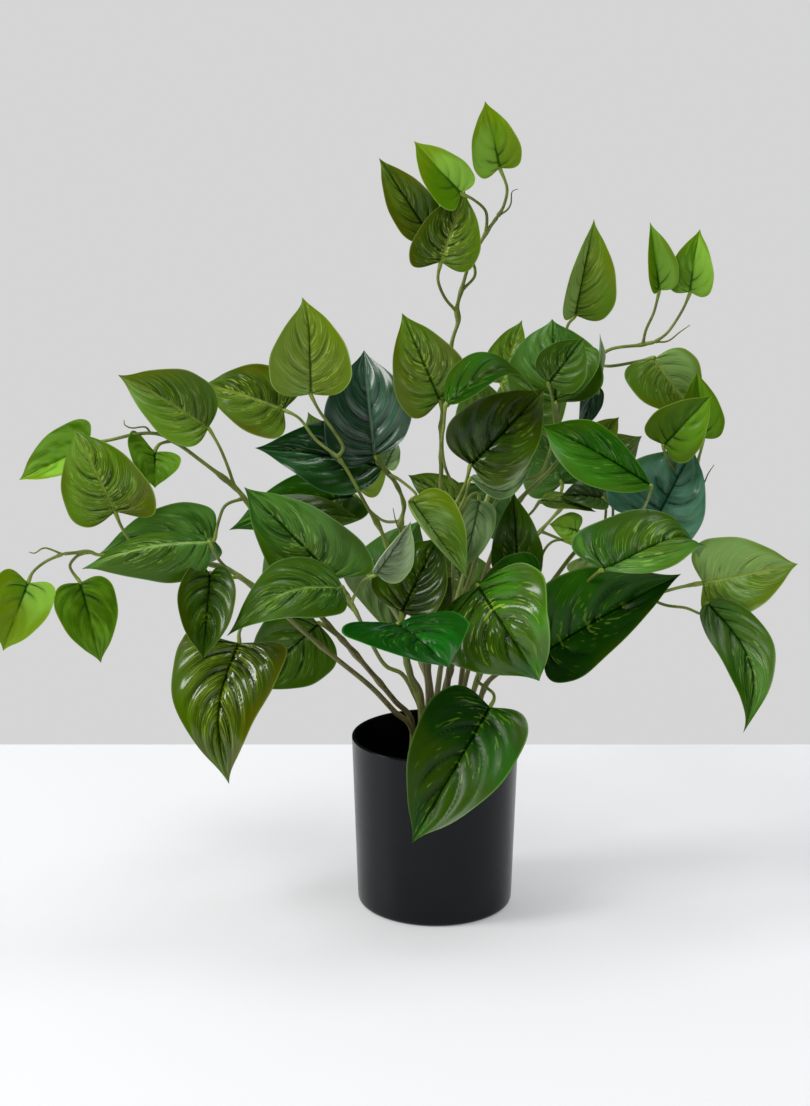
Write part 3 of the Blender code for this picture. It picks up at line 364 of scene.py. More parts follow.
# Shader wires: a socket on which Python's operators add Math nodes, so a mask is written as a sum
class Wire:
    def __init__(self, tree, socket=None):
        self.tree = tree
        self.socket = socket

    def node(self, kind, settings, inputs, out=0):  # any other node: its type, settings, sockets and output
        made = self.tree.nodes.new(kind)
        for name, value in settings.items():
            setattr(made, name, value)
        for place, value in inputs.items():
            if isinstance(value, Wire):
                self.tree.links.new(value.socket, made.inputs[place])
            else:
                made.inputs[place].default_value = value
        return Wire(self.tree, made.outputs[out])

    def port(self, place):  # another output of the same node
        return Wire(self.tree, self.socket.node.outputs[place])

    def math(self, operation, *values):
        return self.node("ShaderNodeMath", {"operation": operation}, dict(enumerate(values)))

    def __add__(self, other):
        return self.math("ADD", self, other)

    def __radd__(self, other):
        return self.math("ADD", other, self)

    def __sub__(self, other):
        return self.math("SUBTRACT", self, other)

    def __rsub__(self, other):
        return self.math("SUBTRACT", other, self)

    def __mul__(self, other):
        return self.math("MULTIPLY", self, other)

    def __rmul__(self, other):
        return self.math("MULTIPLY", other, self)

    def __pow__(self, other):
        return self.math("POWER", self, other)

    def __abs__(self):
        return self.math("ABSOLUTE", self)

    def fade(self, low, high):  # smoothly from 0 at low to 1 at high, which may be the lower number
        settings = {"interpolation_type": "SMOOTHSTEP"}
        return self.node("ShaderNodeMapRange", settings, {0: self, 1: low, 2: high})

    def noise(self, place, scale, detail=2.0, rough=0.5):
        return self.node("ShaderNodeTexNoise", {}, {0: place, 2: scale, 3: detail, 4: rough})

    def point(self, x, y, z):
        return self.node("ShaderNodeCombineXYZ", {}, {0: x, 1: y, 2: z})

    def blend(self, share, first, second):  # of two colours
        return self.node("ShaderNodeMix", {"data_type": "RGBA"}, {0: share, 6: first, 7: second}, out=2)

    def objectPlace(self):
        return self.node("ShaderNodeTexCoord", {}, {}, out=3)

    def read(self, name):  # a number that the mesh holds
        return self.node("ShaderNodeAttribute", {"attribute_name": name}, {}, out=2)


def newFinish(name):
    made = bpy.data.materials.new(name)
    made.use_nodes = True
    skin = made.node_tree.nodes["Principled BSDF"]
    return made, skin, Wire(made.node_tree)


def plug(wire, skin, socket):
    wire.tree.links.new(wire.socket, skin.inputs[socket])


def bumped(wire, height, distance, strength, skin):
    settings = {"Height": height, "Distance": distance, "Strength": strength}
    plug(wire.node("ShaderNodeBump", {}, settings), skin, "Normal")


def fixed(skin, values):  # sockets that are the same all over
    for socket, value in values.items():
        skin.inputs[socket].default_value = value


def placed(name, data):
    made = bpy.data.objects.new(name, data)
    bpy.context.collection.objects.link(made)
    return made


# The greens. body, fresh and warm are the blade's colours, vein its grooves, fleck the pale strokes and
# pale its edge and underside. veins is about how many side veins a half has and fadeOut where down the
# blade they have gone. groove is how deep (mm, on a leaf 60 mm wide) and how dark they lie, puff how far
# the blade swells between them (in steps of 1.5 mm, on such a leaf) and hollow how far it darkens towards
# them. lines, flecks and wrinkle are how much of each shows, rough is the roughness, and coat and coatRough
# the gloss.
usualGreen = dict(veins=5.2, fadeOut=0.95, groove=0.7, puff=0.6, hollow=0.35, lines=0.1, flecks=0.6,
                  wrinkle=0.6, rough=0.34, coat=0.16, coatRough=0.22)


def looks(**values):  # the usual numbers with a kind's own ones, and its paint chips made colours
    chips = {name: paint(*value) for name, value in values.items() if isinstance(value, tuple)}
    return {**usualGreen, **values, **chips}


greens = dict(
    lime=looks(body=(88, 136, 4), fresh=(134, 184, 58), warm=(112, 140, 3), vein=(26, 74, 6),
               fleck=(160, 196, 70), pale=(150, 186, 76), veins=4.4, fadeOut=0.58, groove=0.8, puff=0.5,
               flecks=0.0, wrinkle=0.1, rough=0.42, coat=0.12),
    young=looks(body=(66, 106, 1), fresh=(98, 146, 24), warm=(86, 114, 1), vein=(18, 58, 3),
                fleck=(150, 186, 60), pale=(140, 176, 66), veins=4.4, fadeOut=0.62, groove=0.8,
                hollow=0.4, lines=0.15, flecks=0.1, wrinkle=0.15, rough=0.42, coat=0.12),
    # This green is a much lighter lime: painted light on a leaf that faces away from the lamps
    paintedSunlit=looks(body=(116, 156, 34), fresh=(156, 192, 100), warm=(130, 148, 10), vein=(56, 84, 8),
                fleck=(196, 216, 104), pale=(170, 196, 104), groove=0.38, hollow=0.15, lines=0.8,
                rough=0.42, coatRough=0.2),
    light=looks(body=(96, 138, 28), fresh=(140, 180, 96), warm=(106, 128, 6), vein=(46, 76, 6),
                fleck=(188, 212, 104), pale=(164, 190, 104), veins=4.8, groove=0.38, hollow=0.15,
                lines=0.7, flecks=0.5, rough=0.42, coatRough=0.2),
    olive=looks(body=(76, 112, 5), fresh=(104, 146, 32), warm=(94, 108, 2), vein=(24, 52, 3),
                fleck=(172, 200, 84), pale=(138, 166, 72), groove=0.65, puff=0.9, hollow=0.3, lines=0.7,
                flecks=0.7, wrinkle=0.8, rough=0.36, coat=0.28, coatRough=0.2),
    # This green is a darker olive: partly the leaves' own darker green, partly painted shade on a leaf
    # facing the lamps
    mossAndShade=looks(body=(56, 84, 2), fresh=(84, 116, 14), warm=(86, 92, 1), vein=(18, 38, 2),
               fleck=(168, 190, 78), pale=(126, 152, 66), puff=1.0, lines=0.5, flecks=0.8, wrinkle=0.9,
               coat=0.22, coatRough=0.17),
    meadow=looks(body=(42, 88, 8), fresh=(78, 126, 42), warm=(64, 96, 2), vein=(12, 46, 6),
                 fleck=(150, 192, 90), pale=(110, 154, 84), veins=5.0, groove=0.65, puff=1.0, lines=0.4,
                 flecks=0.5, wrinkle=0.35, coat=0.25, coatRough=0.24),
    wet=looks(body=(36, 92, 2), fresh=(64, 128, 10), warm=(60, 92, 1), vein=(12, 44, 3),
              fleck=(170, 204, 70), pale=(116, 156, 62), groove=0.75, puff=1.1, lines=0.15, wrinkle=1.1,
              rough=0.28, coat=0.55, coatRough=0.18),
    deepOlive=looks(body=(34, 64, 1), fresh=(56, 92, 3), warm=(56, 72, 1), vein=(10, 28, 1),
                    fleck=(156, 188, 56), pale=(100, 130, 50), groove=0.75, puff=1.1, flecks=0.3,
                    wrinkle=0.8, rough=0.28, coat=0.45, coatRough=0.2),
    emerald=looks(body=(4, 66, 1), fresh=(12, 96, 5), warm=(16, 76, 1), vein=(3, 42, 3),
                  fleck=(110, 180, 70), pale=(60, 136, 50), veins=4.8, fadeOut=0.9, puff=1.0, flecks=0.2,
                  rough=0.32, coat=0.2, coatRough=0.18),
    forest=looks(body=(22, 66, 2), fresh=(38, 90, 6), warm=(50, 76, 1), vein=(8, 36, 6),
                 fleck=(158, 204, 60), pale=(96, 140, 60), veins=4.8, groove=0.75, puff=0.8, hollow=0.4,
                 lines=0.0, flecks=0.3, wrinkle=0.1, rough=0.36, coatRough=0.24),
    bright=looks(body=(34, 98, 2), fresh=(62, 132, 12), warm=(66, 110, 1), vein=(10, 54, 3),
                 fleck=(150, 196, 96), pale=(100, 156, 66), veins=4.6, fadeOut=0.9, groove=0.65, puff=0.9,
                 lines=0.3, flecks=0.4, wrinkle=0.5, coat=0.22, coatRough=0.18),
    glossy=looks(body=(62, 84, 1), fresh=(82, 114, 3), warm=(84, 84, 1), vein=(22, 40, 1),
                 fleck=(170, 194, 64), pale=(112, 136, 50), veins=5.8, groove=0.75, puff=1.2, lines=0.8,
                 wrinkle=1.6, rough=0.24, coat=0.7, coatRough=0.12),
    deep=looks(body=(14, 62, 22), fresh=(36, 92, 42), warm=(32, 74, 12), vein=(6, 34, 16),
               fleck=(120, 160, 90), pale=(88, 126, 88), veins=4.6, groove=0.85, puff=1.4, hollow=0.3,
               flecks=0.5, wrinkle=0.4, rough=0.28, coat=0.9, coatRough=0.16),
    teal=looks(body=(24, 62, 40), fresh=(42, 84, 60), warm=(26, 62, 28), vein=(10, 42, 30),
               fleck=(150, 176, 150), pale=(96, 132, 108), veins=4.6, puff=1.4, hollow=0.3, lines=0.4,
               flecks=0.2, wrinkle=0.4, coat=1.0, coatRough=0.28),
    bluish=looks(body=(56, 104, 78), fresh=(88, 136, 108), warm=(56, 102, 58), vein=(18, 60, 46),
                 fleck=(130, 170, 120), pale=(106, 144, 116), veins=4.6, puff=1.4, hollow=0.3, lines=0.2,
                 flecks=0.1, wrinkle=0.3, coat=0.7, coatRough=0.24),
    # This green is whitish: partly a paler leaf, partly a painted sheen where the leaves' gloss shows white
    pale=looks(body=(116, 156, 82), fresh=(160, 190, 132), warm=(120, 154, 62), vein=(52, 96, 38),
               fleck=(198, 214, 162), pale=(170, 194, 144), groove=0.6, puff=0.7, lines=0.9, flecks=0.4,
               wrinkle=0.7, rough=0.45),
    # This green is whitish: a painted sheen, and painted light on a leaf turned away from the lamps
    paintedSheen=looks(body=(154, 182, 126), fresh=(194, 210, 176), warm=(150, 180, 112), vein=(70, 112, 56),
                 fleck=(226, 234, 210), pale=(196, 214, 176), groove=0.6, puff=0.7, hollow=0.45,
                 lines=0.9, flecks=0.4, wrinkle=0.8, rough=0.45),
)
# A side vein is a line along which t, down the blade, less sweep times |s|**curve, across it, is the same.
# They are staggered from left to right, and start is where the first one lies behind the stalk.
veining = dict(sweep=0.36, curve=1.35, start=0.20, stagger=0.42)
# How fine the patterns of a blade are: the scale of a noise, or its scales across and along the veins
fineness = dict(bent=50.0, broken=75.0, cluster=38.0, patch=22.0, warmth=15.0, gloss=60.0, rippled=24.0,
                pores=700.0, streak=(90.0, 3.0), line=(150.0, 2.2), stroke=(46.0, 5.0), blotch=(8.0, 2.2))
leafSpecular, potSpecular = 0.06, 0.22


# A moulded leaf: dark grooves of uneven length along the veins, paler here and there, with a lighter line
# beside them, fine lines and pale flecks that run with them, patches of fresher and warmer green, one half
# lighter than the other (partly the leaf's own tone, partly painted light where that half faces the lamps),
# a pale cut edge and a paler, duller underside
def leafFinish(name):
    look = greens[name]
    made, skin, wire = newFinish("leaf_" + name)
    mapped = wire.node("ShaderNodeUVMap", {"uv_map": "leafMap"}, {})
    spot = wire.node("ShaderNodeSeparateXYZ", {}, {0: mapped})
    across = spot * 2.0 - 1.0
    down = spot.port(1)
    out = abs(across)
    right = wire.math("GREATER_THAN", across, 0.0)
    place = wire.objectPlace()
    seed, under, ribGap = wire.read("seed"), wire.read("under"), wire.read("ribGap")
    flow = down - out ** veining["curve"] * veining["sweep"]
    bent = flow + (wire.noise(place, fineness["bent"], 1.0) - 0.5) * 0.08
    phase = (bent + veining["start"]) * look["veins"] + right * veining["stagger"] + seed
    between = wire.math("PINGPONG", phase, 0.5) * 2.0
    which = wire.math("FLOOR", phase + 0.5)
    luck = wire.node("ShaderNodeTexWhiteNoise", {}, {0: wire.point(which, right, seed)})
    reach = 0.34 + 0.48 * luck
    midway = out.fade(reach, reach - 0.30) * down.fade(look["fadeOut"], look["fadeOut"] - 0.25)
    inner = out.fade(0.98, 0.45) * down.fade(1.0, 0.75)
    broken = wire.noise(place, fineness["broken"], 1.0).fade(0.36, 0.52) * 0.75 + 0.25
    groove = between.fade(0.20 - out * 0.16, 0.03) * midway * broken * (0.5 + 0.5 * luck)
    hollow = between.fade(0.62, 0.0) * midway
    beside = abs(between - 0.38).fade(0.14, 0.03) * midway * luck.fade(0.2, 0.7)
    ribPlace = abs(ribGap)
    ribFades = down.fade(look["fadeOut"] + 0.1, look["fadeOut"] - 0.2)
    ribDark = ribPlace.fade(1.9 - down * 1.3, 0.35) * ribFades
    paleRib = ribPlace.fade(1.5, 0.7) * wire.read("rib") * down.fade(1.0, 0.75)

    def flowing(name, side, shift, detail, rough):  # a noise drawn out along the veins
        apart, along = fineness[name]
        return wire.noise(wire.point(flow * apart, side * along, shift), 1.0, detail, rough)

    streak = flowing("streak", out, seed * 41.0, 3.0, 0.6)
    line = flowing("line", out, seed * 17.0 + 3.0, 1.0, 0.5)
    stroke = flowing("stroke", out, seed * 23.0 + 7.0, 1.0, 0.4)
    cluster = wire.noise(place, fineness["cluster"], 1.0).fade(0.45, 0.56)
    fleck = stroke.fade(0.61, 0.66) * cluster * inner
    alongRib = abs(ribPlace - 2.0).fade(0.7, 0.25) * stroke.fade(0.50, 0.58) * cluster
    fleck = wire.math("MAXIMUM", fleck, alongRib) * look["flecks"]
    # One half painted lighter than the other: partly the leaf's own tone, partly painted light where that
    # half faces the lamps
    halfToneAndLight = wire.math("SINE", seed * 37.0) * (right - 0.5) * 0.42
    blotch = flowing("blotch", across, seed * 31.0, 2.0, 0.5)
    patch = ((wire.noise(place, fineness["patch"], 2.0) + blotch) * 0.5 + halfToneAndLight).fade(0.40, 0.58)
    warmth = wire.noise(place, fineness["warmth"], 1.0) + out.fade(0.6, 1.0) * 0.12
    warmth = warmth.fade(0.50, 0.64) * 0.8
    green = wire.blend(patch, look["body"], look["fresh"])
    green = wire.blend(warmth, green, look["warm"])
    green = wire.blend(streak.fade(0.50, 0.30) * inner * (0.55 * look["wrinkle"]), green, look["vein"])
    green = wire.blend(line.fade(0.54, 0.66) * inner * (0.8 * look["lines"]), green, look["fleck"])
    green = wire.blend(hollow * look["hollow"], green, look["vein"])
    green = wire.blend(beside * look["lines"] * 0.5, green, look["pale"])
    green = wire.blend(groove * (1.15 * look["groove"]), green, look["vein"])
    green = wire.blend(ribDark * 0.85, green, look["vein"])
    green = wire.blend(wire.math("MAXIMUM", fleck, paleRib), green, look["fleck"])
    green = wire.blend(out.fade(0.960, 0.988) * 0.65, green, look["pale"])
    green = wire.blend(under * 0.35, green, look["pale"])
    plug(green, skin, "Base Color")
    gloss = look["rough"] + (wire.noise(place, fineness["gloss"], 3.0) - 0.5) * 0.16 + under * 0.25
    plug(gloss, skin, "Roughness")
    rippled = wire.noise(place, fineness["rippled"], 1.0).fade(0.40, 0.60) * 0.8 + 0.4
    pores = wire.noise(place, fineness["pores"], 2.0) * 0.04
    ridges = streak * inner * rippled * look["wrinkle"] - groove * 0.4 + pores
    bumped(wire, ridges, 0.0018, 0.9, skin)
    fixed(skin, {"Coat Weight": look["coat"], "Coat Roughness": look["coatRough"],
                 "Specular IOR Level": leafSpecular})
    return made


def curve(points, steps):  # Catmull-Rom through the points, with so many steps between neighbours
    ends = np.vstack([2.0 * points[0] - points[1], points, 2.0 * points[-1] - points[-2]])
    before, start, stop, after = ends[:-3], ends[1:-2], ends[2:-1], ends[3:]
    t = (np.arange(steps) / steps)[:, None, None]
    square = 2.0 * before - 5.0 * start + 4.0 * stop - after
    cube = 3.0 * start - before - 3.0 * stop + after
    line = 0.5 * (2.0 * start + (stop - before) * t + square * t**2 + cube * t**3)
    return np.vstack([line.transpose(1, 0, 2).reshape(-1, 3), points[-1:]])


def unit(vectors):
    return vectors / np.maximum(np.linalg.norm(vectors, axis=-1, keepdims=True), 1e-12)


def ramp(value, low, high):  # smoothly from 0 at low to 1 at high
    t = np.clip((value - low) / (high - low), 0.0, 1.0)
    return t * t * (3.0 - 2.0 * t)


def pathLengths(path):  # how far along the path each of its points is
    return np.concatenate([[0.0], np.cumsum(np.linalg.norm(np.diff(path, axis=0), axis=1))])


def bladeFrame(spec):  # a leaf's start and length, and unit vectors along, right and out of its face
    base, tip = seen([spec["base"], spec["tip"]])
    length = np.linalg.norm(tip - base)
    along = (tip - base) / length
    look = unit(eye["place"] - (base + tip) / 2.0)
    face = unit(look - along * (look @ along))
    face = face * math.cos(spec["roll"]) + np.cross(along, face) * math.sin(spec["roll"])
    return base, length, along, np.cross(along, face), face


# The relief of a blade, in metres: swollen between the side veins, and grooved along them and the midrib,
# all of it dying out towards the margin and the tip
def relief(spec, t, s, ribGap):
    look = greens[spec["kind"]]
    out = np.abs(s)
    flow = t - veining["sweep"] * out ** veining["curve"]
    phase = (flow + veining["start"]) * look["veins"] + veining["stagger"] * (s > 0) + spec["seed"]
    between = np.abs((phase + 0.5) % 1.0 - 0.5) * 2.0
    size = spec["width"] / 60.0
    inner = ramp(out, 1.0, 0.55) * ramp(t, 1.0, 0.70) * ramp(t, 0.0, 0.10)
    swollen = 1.5 * look["puff"] * size * np.sin(math.pi / 2.0 * between) * ramp(out, 0.0, 0.15)
    grooved = look["groove"] * size * np.exp(-((between / 0.16) ** 2)) * ramp(out, 0.85, 0.3)
    ribbed = 0.9 * size * np.exp(-(ribGap**2)) * ramp(t, 1.0, 0.7)
    return ((swollen - grooved) * inner - ribbed) * mm


# A blade's middle surface over t, from stalk to tip, and s, from its left margin at -1 to its right at 1.
# The margin is a heart: it swells to full width at the belly, falls back behind the stalk by the lobe and
# draws out to a point. Each half is folded off the midrib and a little cupped, and the margin waves. All
# that turns about the midrib by the twist. The midrib sways aside and is bowed towards the face, and past
# curlStart it bends back round an arc.
tipShape = dict(start=0.80, drawn=0.34, hookStart=0.74, hookLong=0.26, curlStart=0.66)
lobePeak = 0.1055  # the most that t * (1 - t)**3 comes to


def bladeSurface(spec, t, s):
    base, length, along, right, face = bladeFrame(spec)
    out, left = np.abs(s), s < 0
    hand = np.where(left, -1.0, 1.0)
    swell = np.sin(math.pi * t ** (math.log(0.5) / math.log(spec["belly"]))) * (1.0 - 0.35 * t**6)
    swell = swell * (1.0 - tipShape["drawn"] * ramp(t, tipShape["start"], 1.02))
    lobe = np.where(left, *spec["lobe"])
    margin = t - lobe * t * (1.0 - t) ** 3 / lobePeak
    rib = t**1.6
    reach = rib + (margin - rib) * out**1.25
    ripple = 0.012 * np.sin(23.0 * t + 40.0 * spec["seed"] + 2.0 * left) * ramp(t, 0.05, 0.3)
    spread = spec["width"] * mm / 2.0 * swell * out * (1.0 + ripple * out**4)
    fold = np.radians(np.where(left, *spec["bend"])) * (0.75 + 0.4 * out)
    bowed = np.sin(math.pi * np.clip(reach, 0.0, 1.0) ** (math.log(0.5) / math.log(spec["peak"])))
    bowed = np.where(reach <= 0.0, 2.0 * reach, bowed)
    swing = np.where(left, 0.6, 2.1)
    waved = spec["wave"] * length * out**2 * np.sin(9.0 * t + swing) * swell
    ribGap = spread * hand / mm
    lift = spread * np.sin(fold) + waved + relief(spec, t, s, ribGap)
    aside = spread * np.cos(fold) * hand
    turned = spec["twist"] * (t - 0.4)
    cos, sin = np.cos(turned), np.sin(turned)
    aside, lift = aside * cos - lift * sin, aside * sin + lift * cos
    aside = aside + spec["sway"] * mm * np.sin(math.pi * np.clip(reach, 0.0, 1.0))
    hooked = np.clip((t - tipShape["hookStart"]) / tipShape["hookLong"], 0.0, 1.0) ** 2
    aside = aside + spec["hook"] * mm * hooked
    bulge = spec["arch"] * length * bowed
    past = np.clip(reach - tipShape["curlStart"], 0.0, None) * length
    tight = (spec["curl"] + 1e-6) / ((1.0 - tipShape["curlStart"]) * length)
    bent = past * tight
    ahead = reach * length - past + np.sin(bent) / tight + lift * np.sin(bent)
    lift = lift * np.cos(bent) - (1.0 - np.cos(bent)) / tight + bulge
    surface = base + along * ahead[..., None] + right * aside[..., None] + face * lift[..., None]
    return surface, ribGap


def fans(grid, first, last):  # quads over a grid of point numbers, and triangles to the points at its ends
    quads = np.stack([grid[:-1, :-1], grid[:-1, 1:], grid[1:, 1:], grid[1:, :-1]], axis=-1).reshape(-1, 4)
    low, high = grid[0], grid[-1]
    start = np.stack([np.full(len(low) - 1, first), low[1:], low[:-1]], axis=-1)
    stop = np.stack([high[:-1], high[1:], np.full(len(low) - 1, last)], axis=-1)
    return quads, np.vstack([start, stop])


bladeBuild = dict(rows=46, columns=40, thick=0.00055, thin=0.00030, ribRaised=0.00055)


# A whole blade: the surface lifted by half its thickness on the face, lowered on the underside, where the
# midrib stands out, and closed by a rim. A smaller leaf has fewer rows and columns.
def blade(spec):
    share = min(1.0, 0.45 + spec["width"] / 110.0)
    rows, columns = int(bladeBuild["rows"] * share), 2 * int(bladeBuild["columns"] * share / 2.0) + 1
    down = np.linspace(0.0, 1.0, rows + 2)[1:-1] ** 1.12
    side = np.linspace(-1.0, 1.0, columns)
    side = np.sign(side) * np.abs(side) ** 1.15
    t, s = np.meshgrid(down, side, indexing="ij")
    middle, ribGap = bladeSurface(spec, t, s)
    normal = unit(np.cross(np.gradient(middle, axis=1), np.gradient(middle, axis=0)))
    thick = bladeBuild["thin"] + (bladeBuild["thick"] - bladeBuild["thin"]) * ramp(np.abs(s), 1.0, 0.6)
    ridge = bladeBuild["ribRaised"] * np.exp(-((ribGap / 0.8) ** 2)) * ramp(t, 1.0, 0.5)
    ends, _ = bladeSurface(spec, np.array([0.0005, 1.0]), np.array([0.0, 0.0]))
    normalEnds = unit(normal[[0, -1], columns // 2])
    over = middle + normal * (thick / 2.0)[..., None]
    below = middle - normal * (thick / 2.0 + ridge)[..., None]
    count = rows * columns
    endsOver = ends + normalEnds * bladeBuild["thin"] / 2.0
    endsBelow = ends - normalEnds * bladeBuild["thin"] / 2.0
    points = np.vstack([over.reshape(-1, 3), endsOver, below.reshape(-1, 3), endsBelow])
    grid = np.arange(count).reshape(rows, columns)
    quads, tris = fans(grid, count, count + 1)
    loop = np.concatenate([[count], grid[:, 0], [count + 1], grid[::-1, -1]])
    after = np.roll(loop, -1)
    below = count + 2
    rim = np.stack([loop, after, after + below, loop + below], axis=-1)
    quads = np.vstack([quads, quads[:, ::-1] + below, rim])
    tris = np.vstack([tris, tris[:, ::-1] + below])
    ends = np.array([[0.0, 0.5], [1.0, 0.5]])
    chart = np.vstack([np.stack([t.ravel(), s.ravel() / 2.0 + 0.5], axis=-1), ends])
    chart = np.vstack([chart, chart])[:, ::-1]
    gaps = np.concatenate([ribGap.ravel(), [0.0, 0.0]])
    values = dict(
        ribGap=np.concatenate([gaps, gaps]),
        under=np.repeat([0.0, 1.0], below),
        seed=np.full(2 * below, spec["seed"]),
        rib=np.full(2 * below, spec["rib"]),
    )
    return points, quads, tris, chart, values


# Rings of points round a path, joined to a tube. The rings' first direction is the normal of the plane
# that the path lies nearest to, so that the tube doesn't twist.
def tube(path, radius, sides, values):
    ahead = unit(np.gradient(path, axis=0))
    plane = np.linalg.svd(path - path.mean(axis=0))[2][2]
    across = unit(plane - ahead * (ahead @ plane)[:, None])
    up = np.cross(ahead, across)
    turn = np.linspace(0.0, 2.0 * math.pi, sides, endpoint=False)
    ring = across[:, None] * np.cos(turn)[:, None] + up[:, None] * np.sin(turn)[:, None]
    points = path[:, None] + ring * radius[:, None, None]
    count = len(path)
    grid = np.arange(count * sides).reshape(count, sides)
    grid = np.hstack([grid, grid[:, :1]])
    first = count * sides
    quads, tris = fans(grid, first, first + 1)
    points = np.vstack([points.reshape(-1, 3), path[:1], path[-1:]])
    gone = pathLengths(path)
    chart = np.stack([np.tile(turn, count) / (2.0 * math.pi), np.repeat(gone * 100.0, sides)], axis=-1)
    chart = np.vstack([chart, [[0.0, 0.0], [0.0, gone[-1] * 100.0]]])
    spread = {name: np.concatenate([np.repeat(v, sides), v[[0, -1]]]) for name, v in values.items()}
    return points, quads, tris, chart, spread


# One object from several shapes, each (points, quads, triangles, chart, values) with its material's place
def solidFrom(name, shapes, finishes, mapName, sharp=math.radians(50.0)):
    start, faces, owners = 0, [], []
    for shape, owner in shapes:
        faces += (shape[1] + start).tolist() + (shape[2] + start).tolist()
        owners += [owner] * (len(shape[1]) + len(shape[2]))
        start += len(shape[0])
    mesh = bpy.data.meshes.new(name)
    mesh.from_pydata(np.vstack([shape[0] for shape, _ in shapes]), [], faces)
    numbers = np.empty(len(mesh.loops), dtype=np.int32)
    mesh.loops.foreach_get("vertex_index", numbers)
    charts = np.vstack([shape[3] for shape, _ in shapes])
    mesh.uv_layers.new(name=mapName).data.foreach_set("uv", charts[numbers].ravel())
    for key in shapes[0][0][4]:
        held = mesh.attributes.new(key, "FLOAT", "POINT")
        held.data.foreach_set("value", np.concatenate([shape[4][key] for shape, _ in shapes]))
    mesh.polygons.foreach_set("material_index", np.array(owners, dtype=np.int32))
    for finish in finishes:
        mesh.materials.append(finish)
    mesh.shade_smooth()
    mesh.set_sharp_from_angle(angle=sharp)
    return placed(name, mesh)


stemBuild = dict(radius=0.0023, tip=0.0011, sides=14, foot=0.0575, collar=0.0955, steps=8,
                 joint=0.0011, jointLong=0.004)
stalkBuild = dict(radius=0.0012, tip=0.00105, sides=10, steps=6, seat=(0.16, 0.03), seatRadius=0.00035,
                  sunk=0.0009, knot=0.0008, knotLong=0.004, flare=0.0005, flareLong=0.006, greenLong=0.05)
tendrilBuild = dict(radius=0.0008, tip=0.00025, sides=8, steps=6)


def nearest(path, point):
    return np.argmin(np.linalg.norm(path - point, axis=1))


# A stem from its foot in the filling to its tip, brown below and green above, with a knot where a stalk
# leaves it and at a few more places
def stemShape(spray, rng):
    across, back = spray["root"]
    foot = np.array([across * mm, back * mm, stemBuild["foot"]])
    collar = np.array([across * mm, back * mm, stemBuild["collar"]])
    path = curve(np.vstack([collar, seen(spray["stem"])]), stemBuild["steps"])
    path = np.vstack([np.linspace(foot, collar, 8)[:-1], path])
    gone = pathLengths(path)
    share = gone / gone[-1]
    radius = stemBuild["radius"] + (stemBuild["tip"] - stemBuild["radius"]) * share
    joints = [gone[nearest(path, seen(spec["stalk"])[-1])] for spec in spray["leaves"]]
    joints += (gone[-1] * rng.uniform(0.25, 0.9, 2 + int(gone[-1] / 0.08))).tolist()
    for joint in joints:
        knot = np.exp(-(((gone - joint) / stemBuild["jointLong"]) ** 2))
        radius = radius + stemBuild["joint"] * 0.55 * knot
    radius[-3:] *= np.array([0.95, 0.8, 0.45])
    values = dict(age=1.0 - share, knot=np.zeros(len(path)))
    return path, tube(path, radius, stemBuild["sides"], values)


# A stalk from its seat behind the midrib, past the blade's base and down to the stem, with a knot at the
# blade and a flare at the stem
def stalkShape(spec, stem):
    base, _, along, _, face = bladeFrame(spec)
    seat, _ = bladeSurface(spec, np.array(stalkBuild["seat"]), np.array([0.0, 0.0]))
    seat = seat - face * stalkBuild["sunk"]
    points = seen(spec["stalk"])
    joint = stem[nearest(stem, points[-1])]
    lead = base - along * 0.001 - face * 0.0006
    path = curve(np.vstack([seat[0], seat[1], lead, points[:-1], joint]), stalkBuild["steps"])
    gone = pathLengths(path)
    start = gone[nearest(path, lead)]
    radius = stalkBuild["tip"] + (stalkBuild["radius"] - stalkBuild["tip"]) * gone / gone[-1]
    size = 0.75 + 0.25 * min(1.0, spec["width"] / 60.0)
    radius = radius * size * ramp(gone, -start * 0.9, start)
    radius = radius + stalkBuild["seatRadius"] * ramp(gone, start, 0.0)
    knot = np.exp(-(((gone - start - 0.001) / stalkBuild["knotLong"]) ** 2))
    flare = ramp(gone[-1] - gone, stalkBuild["flareLong"], 0.0)
    radius = radius + stalkBuild["knot"] * size * knot * 0.6 + stalkBuild["flare"] * flare
    green = np.clip(1.0 - gone / stalkBuild["greenLong"], 0.0, 1.0)
    values = dict(age=0.30 - 0.25 * green, knot=knot)
    return tube(path, radius, stalkBuild["sides"], values)


def tendrilShape(points, stem):  # a short thin shoot from the stem, thinner towards its tip
    points = seen(points)
    path = curve(np.vstack([stem[nearest(stem, points[0])], points[1:]]), tendrilBuild["steps"])
    radius = np.linspace(tendrilBuild["radius"], tendrilBuild["tip"], len(path))
    values = dict(age=np.full(len(path), 0.12), knot=np.zeros(len(path)))
    return tube(path, radius, tendrilBuild["sides"], values)


stemPaint = dict(brown=paint(122, 114, 66), bark=paint(60, 56, 28), green=paint(106, 120, 42),
                 young=paint(136, 154, 62), knot=paint(144, 168, 56), rough=0.50)


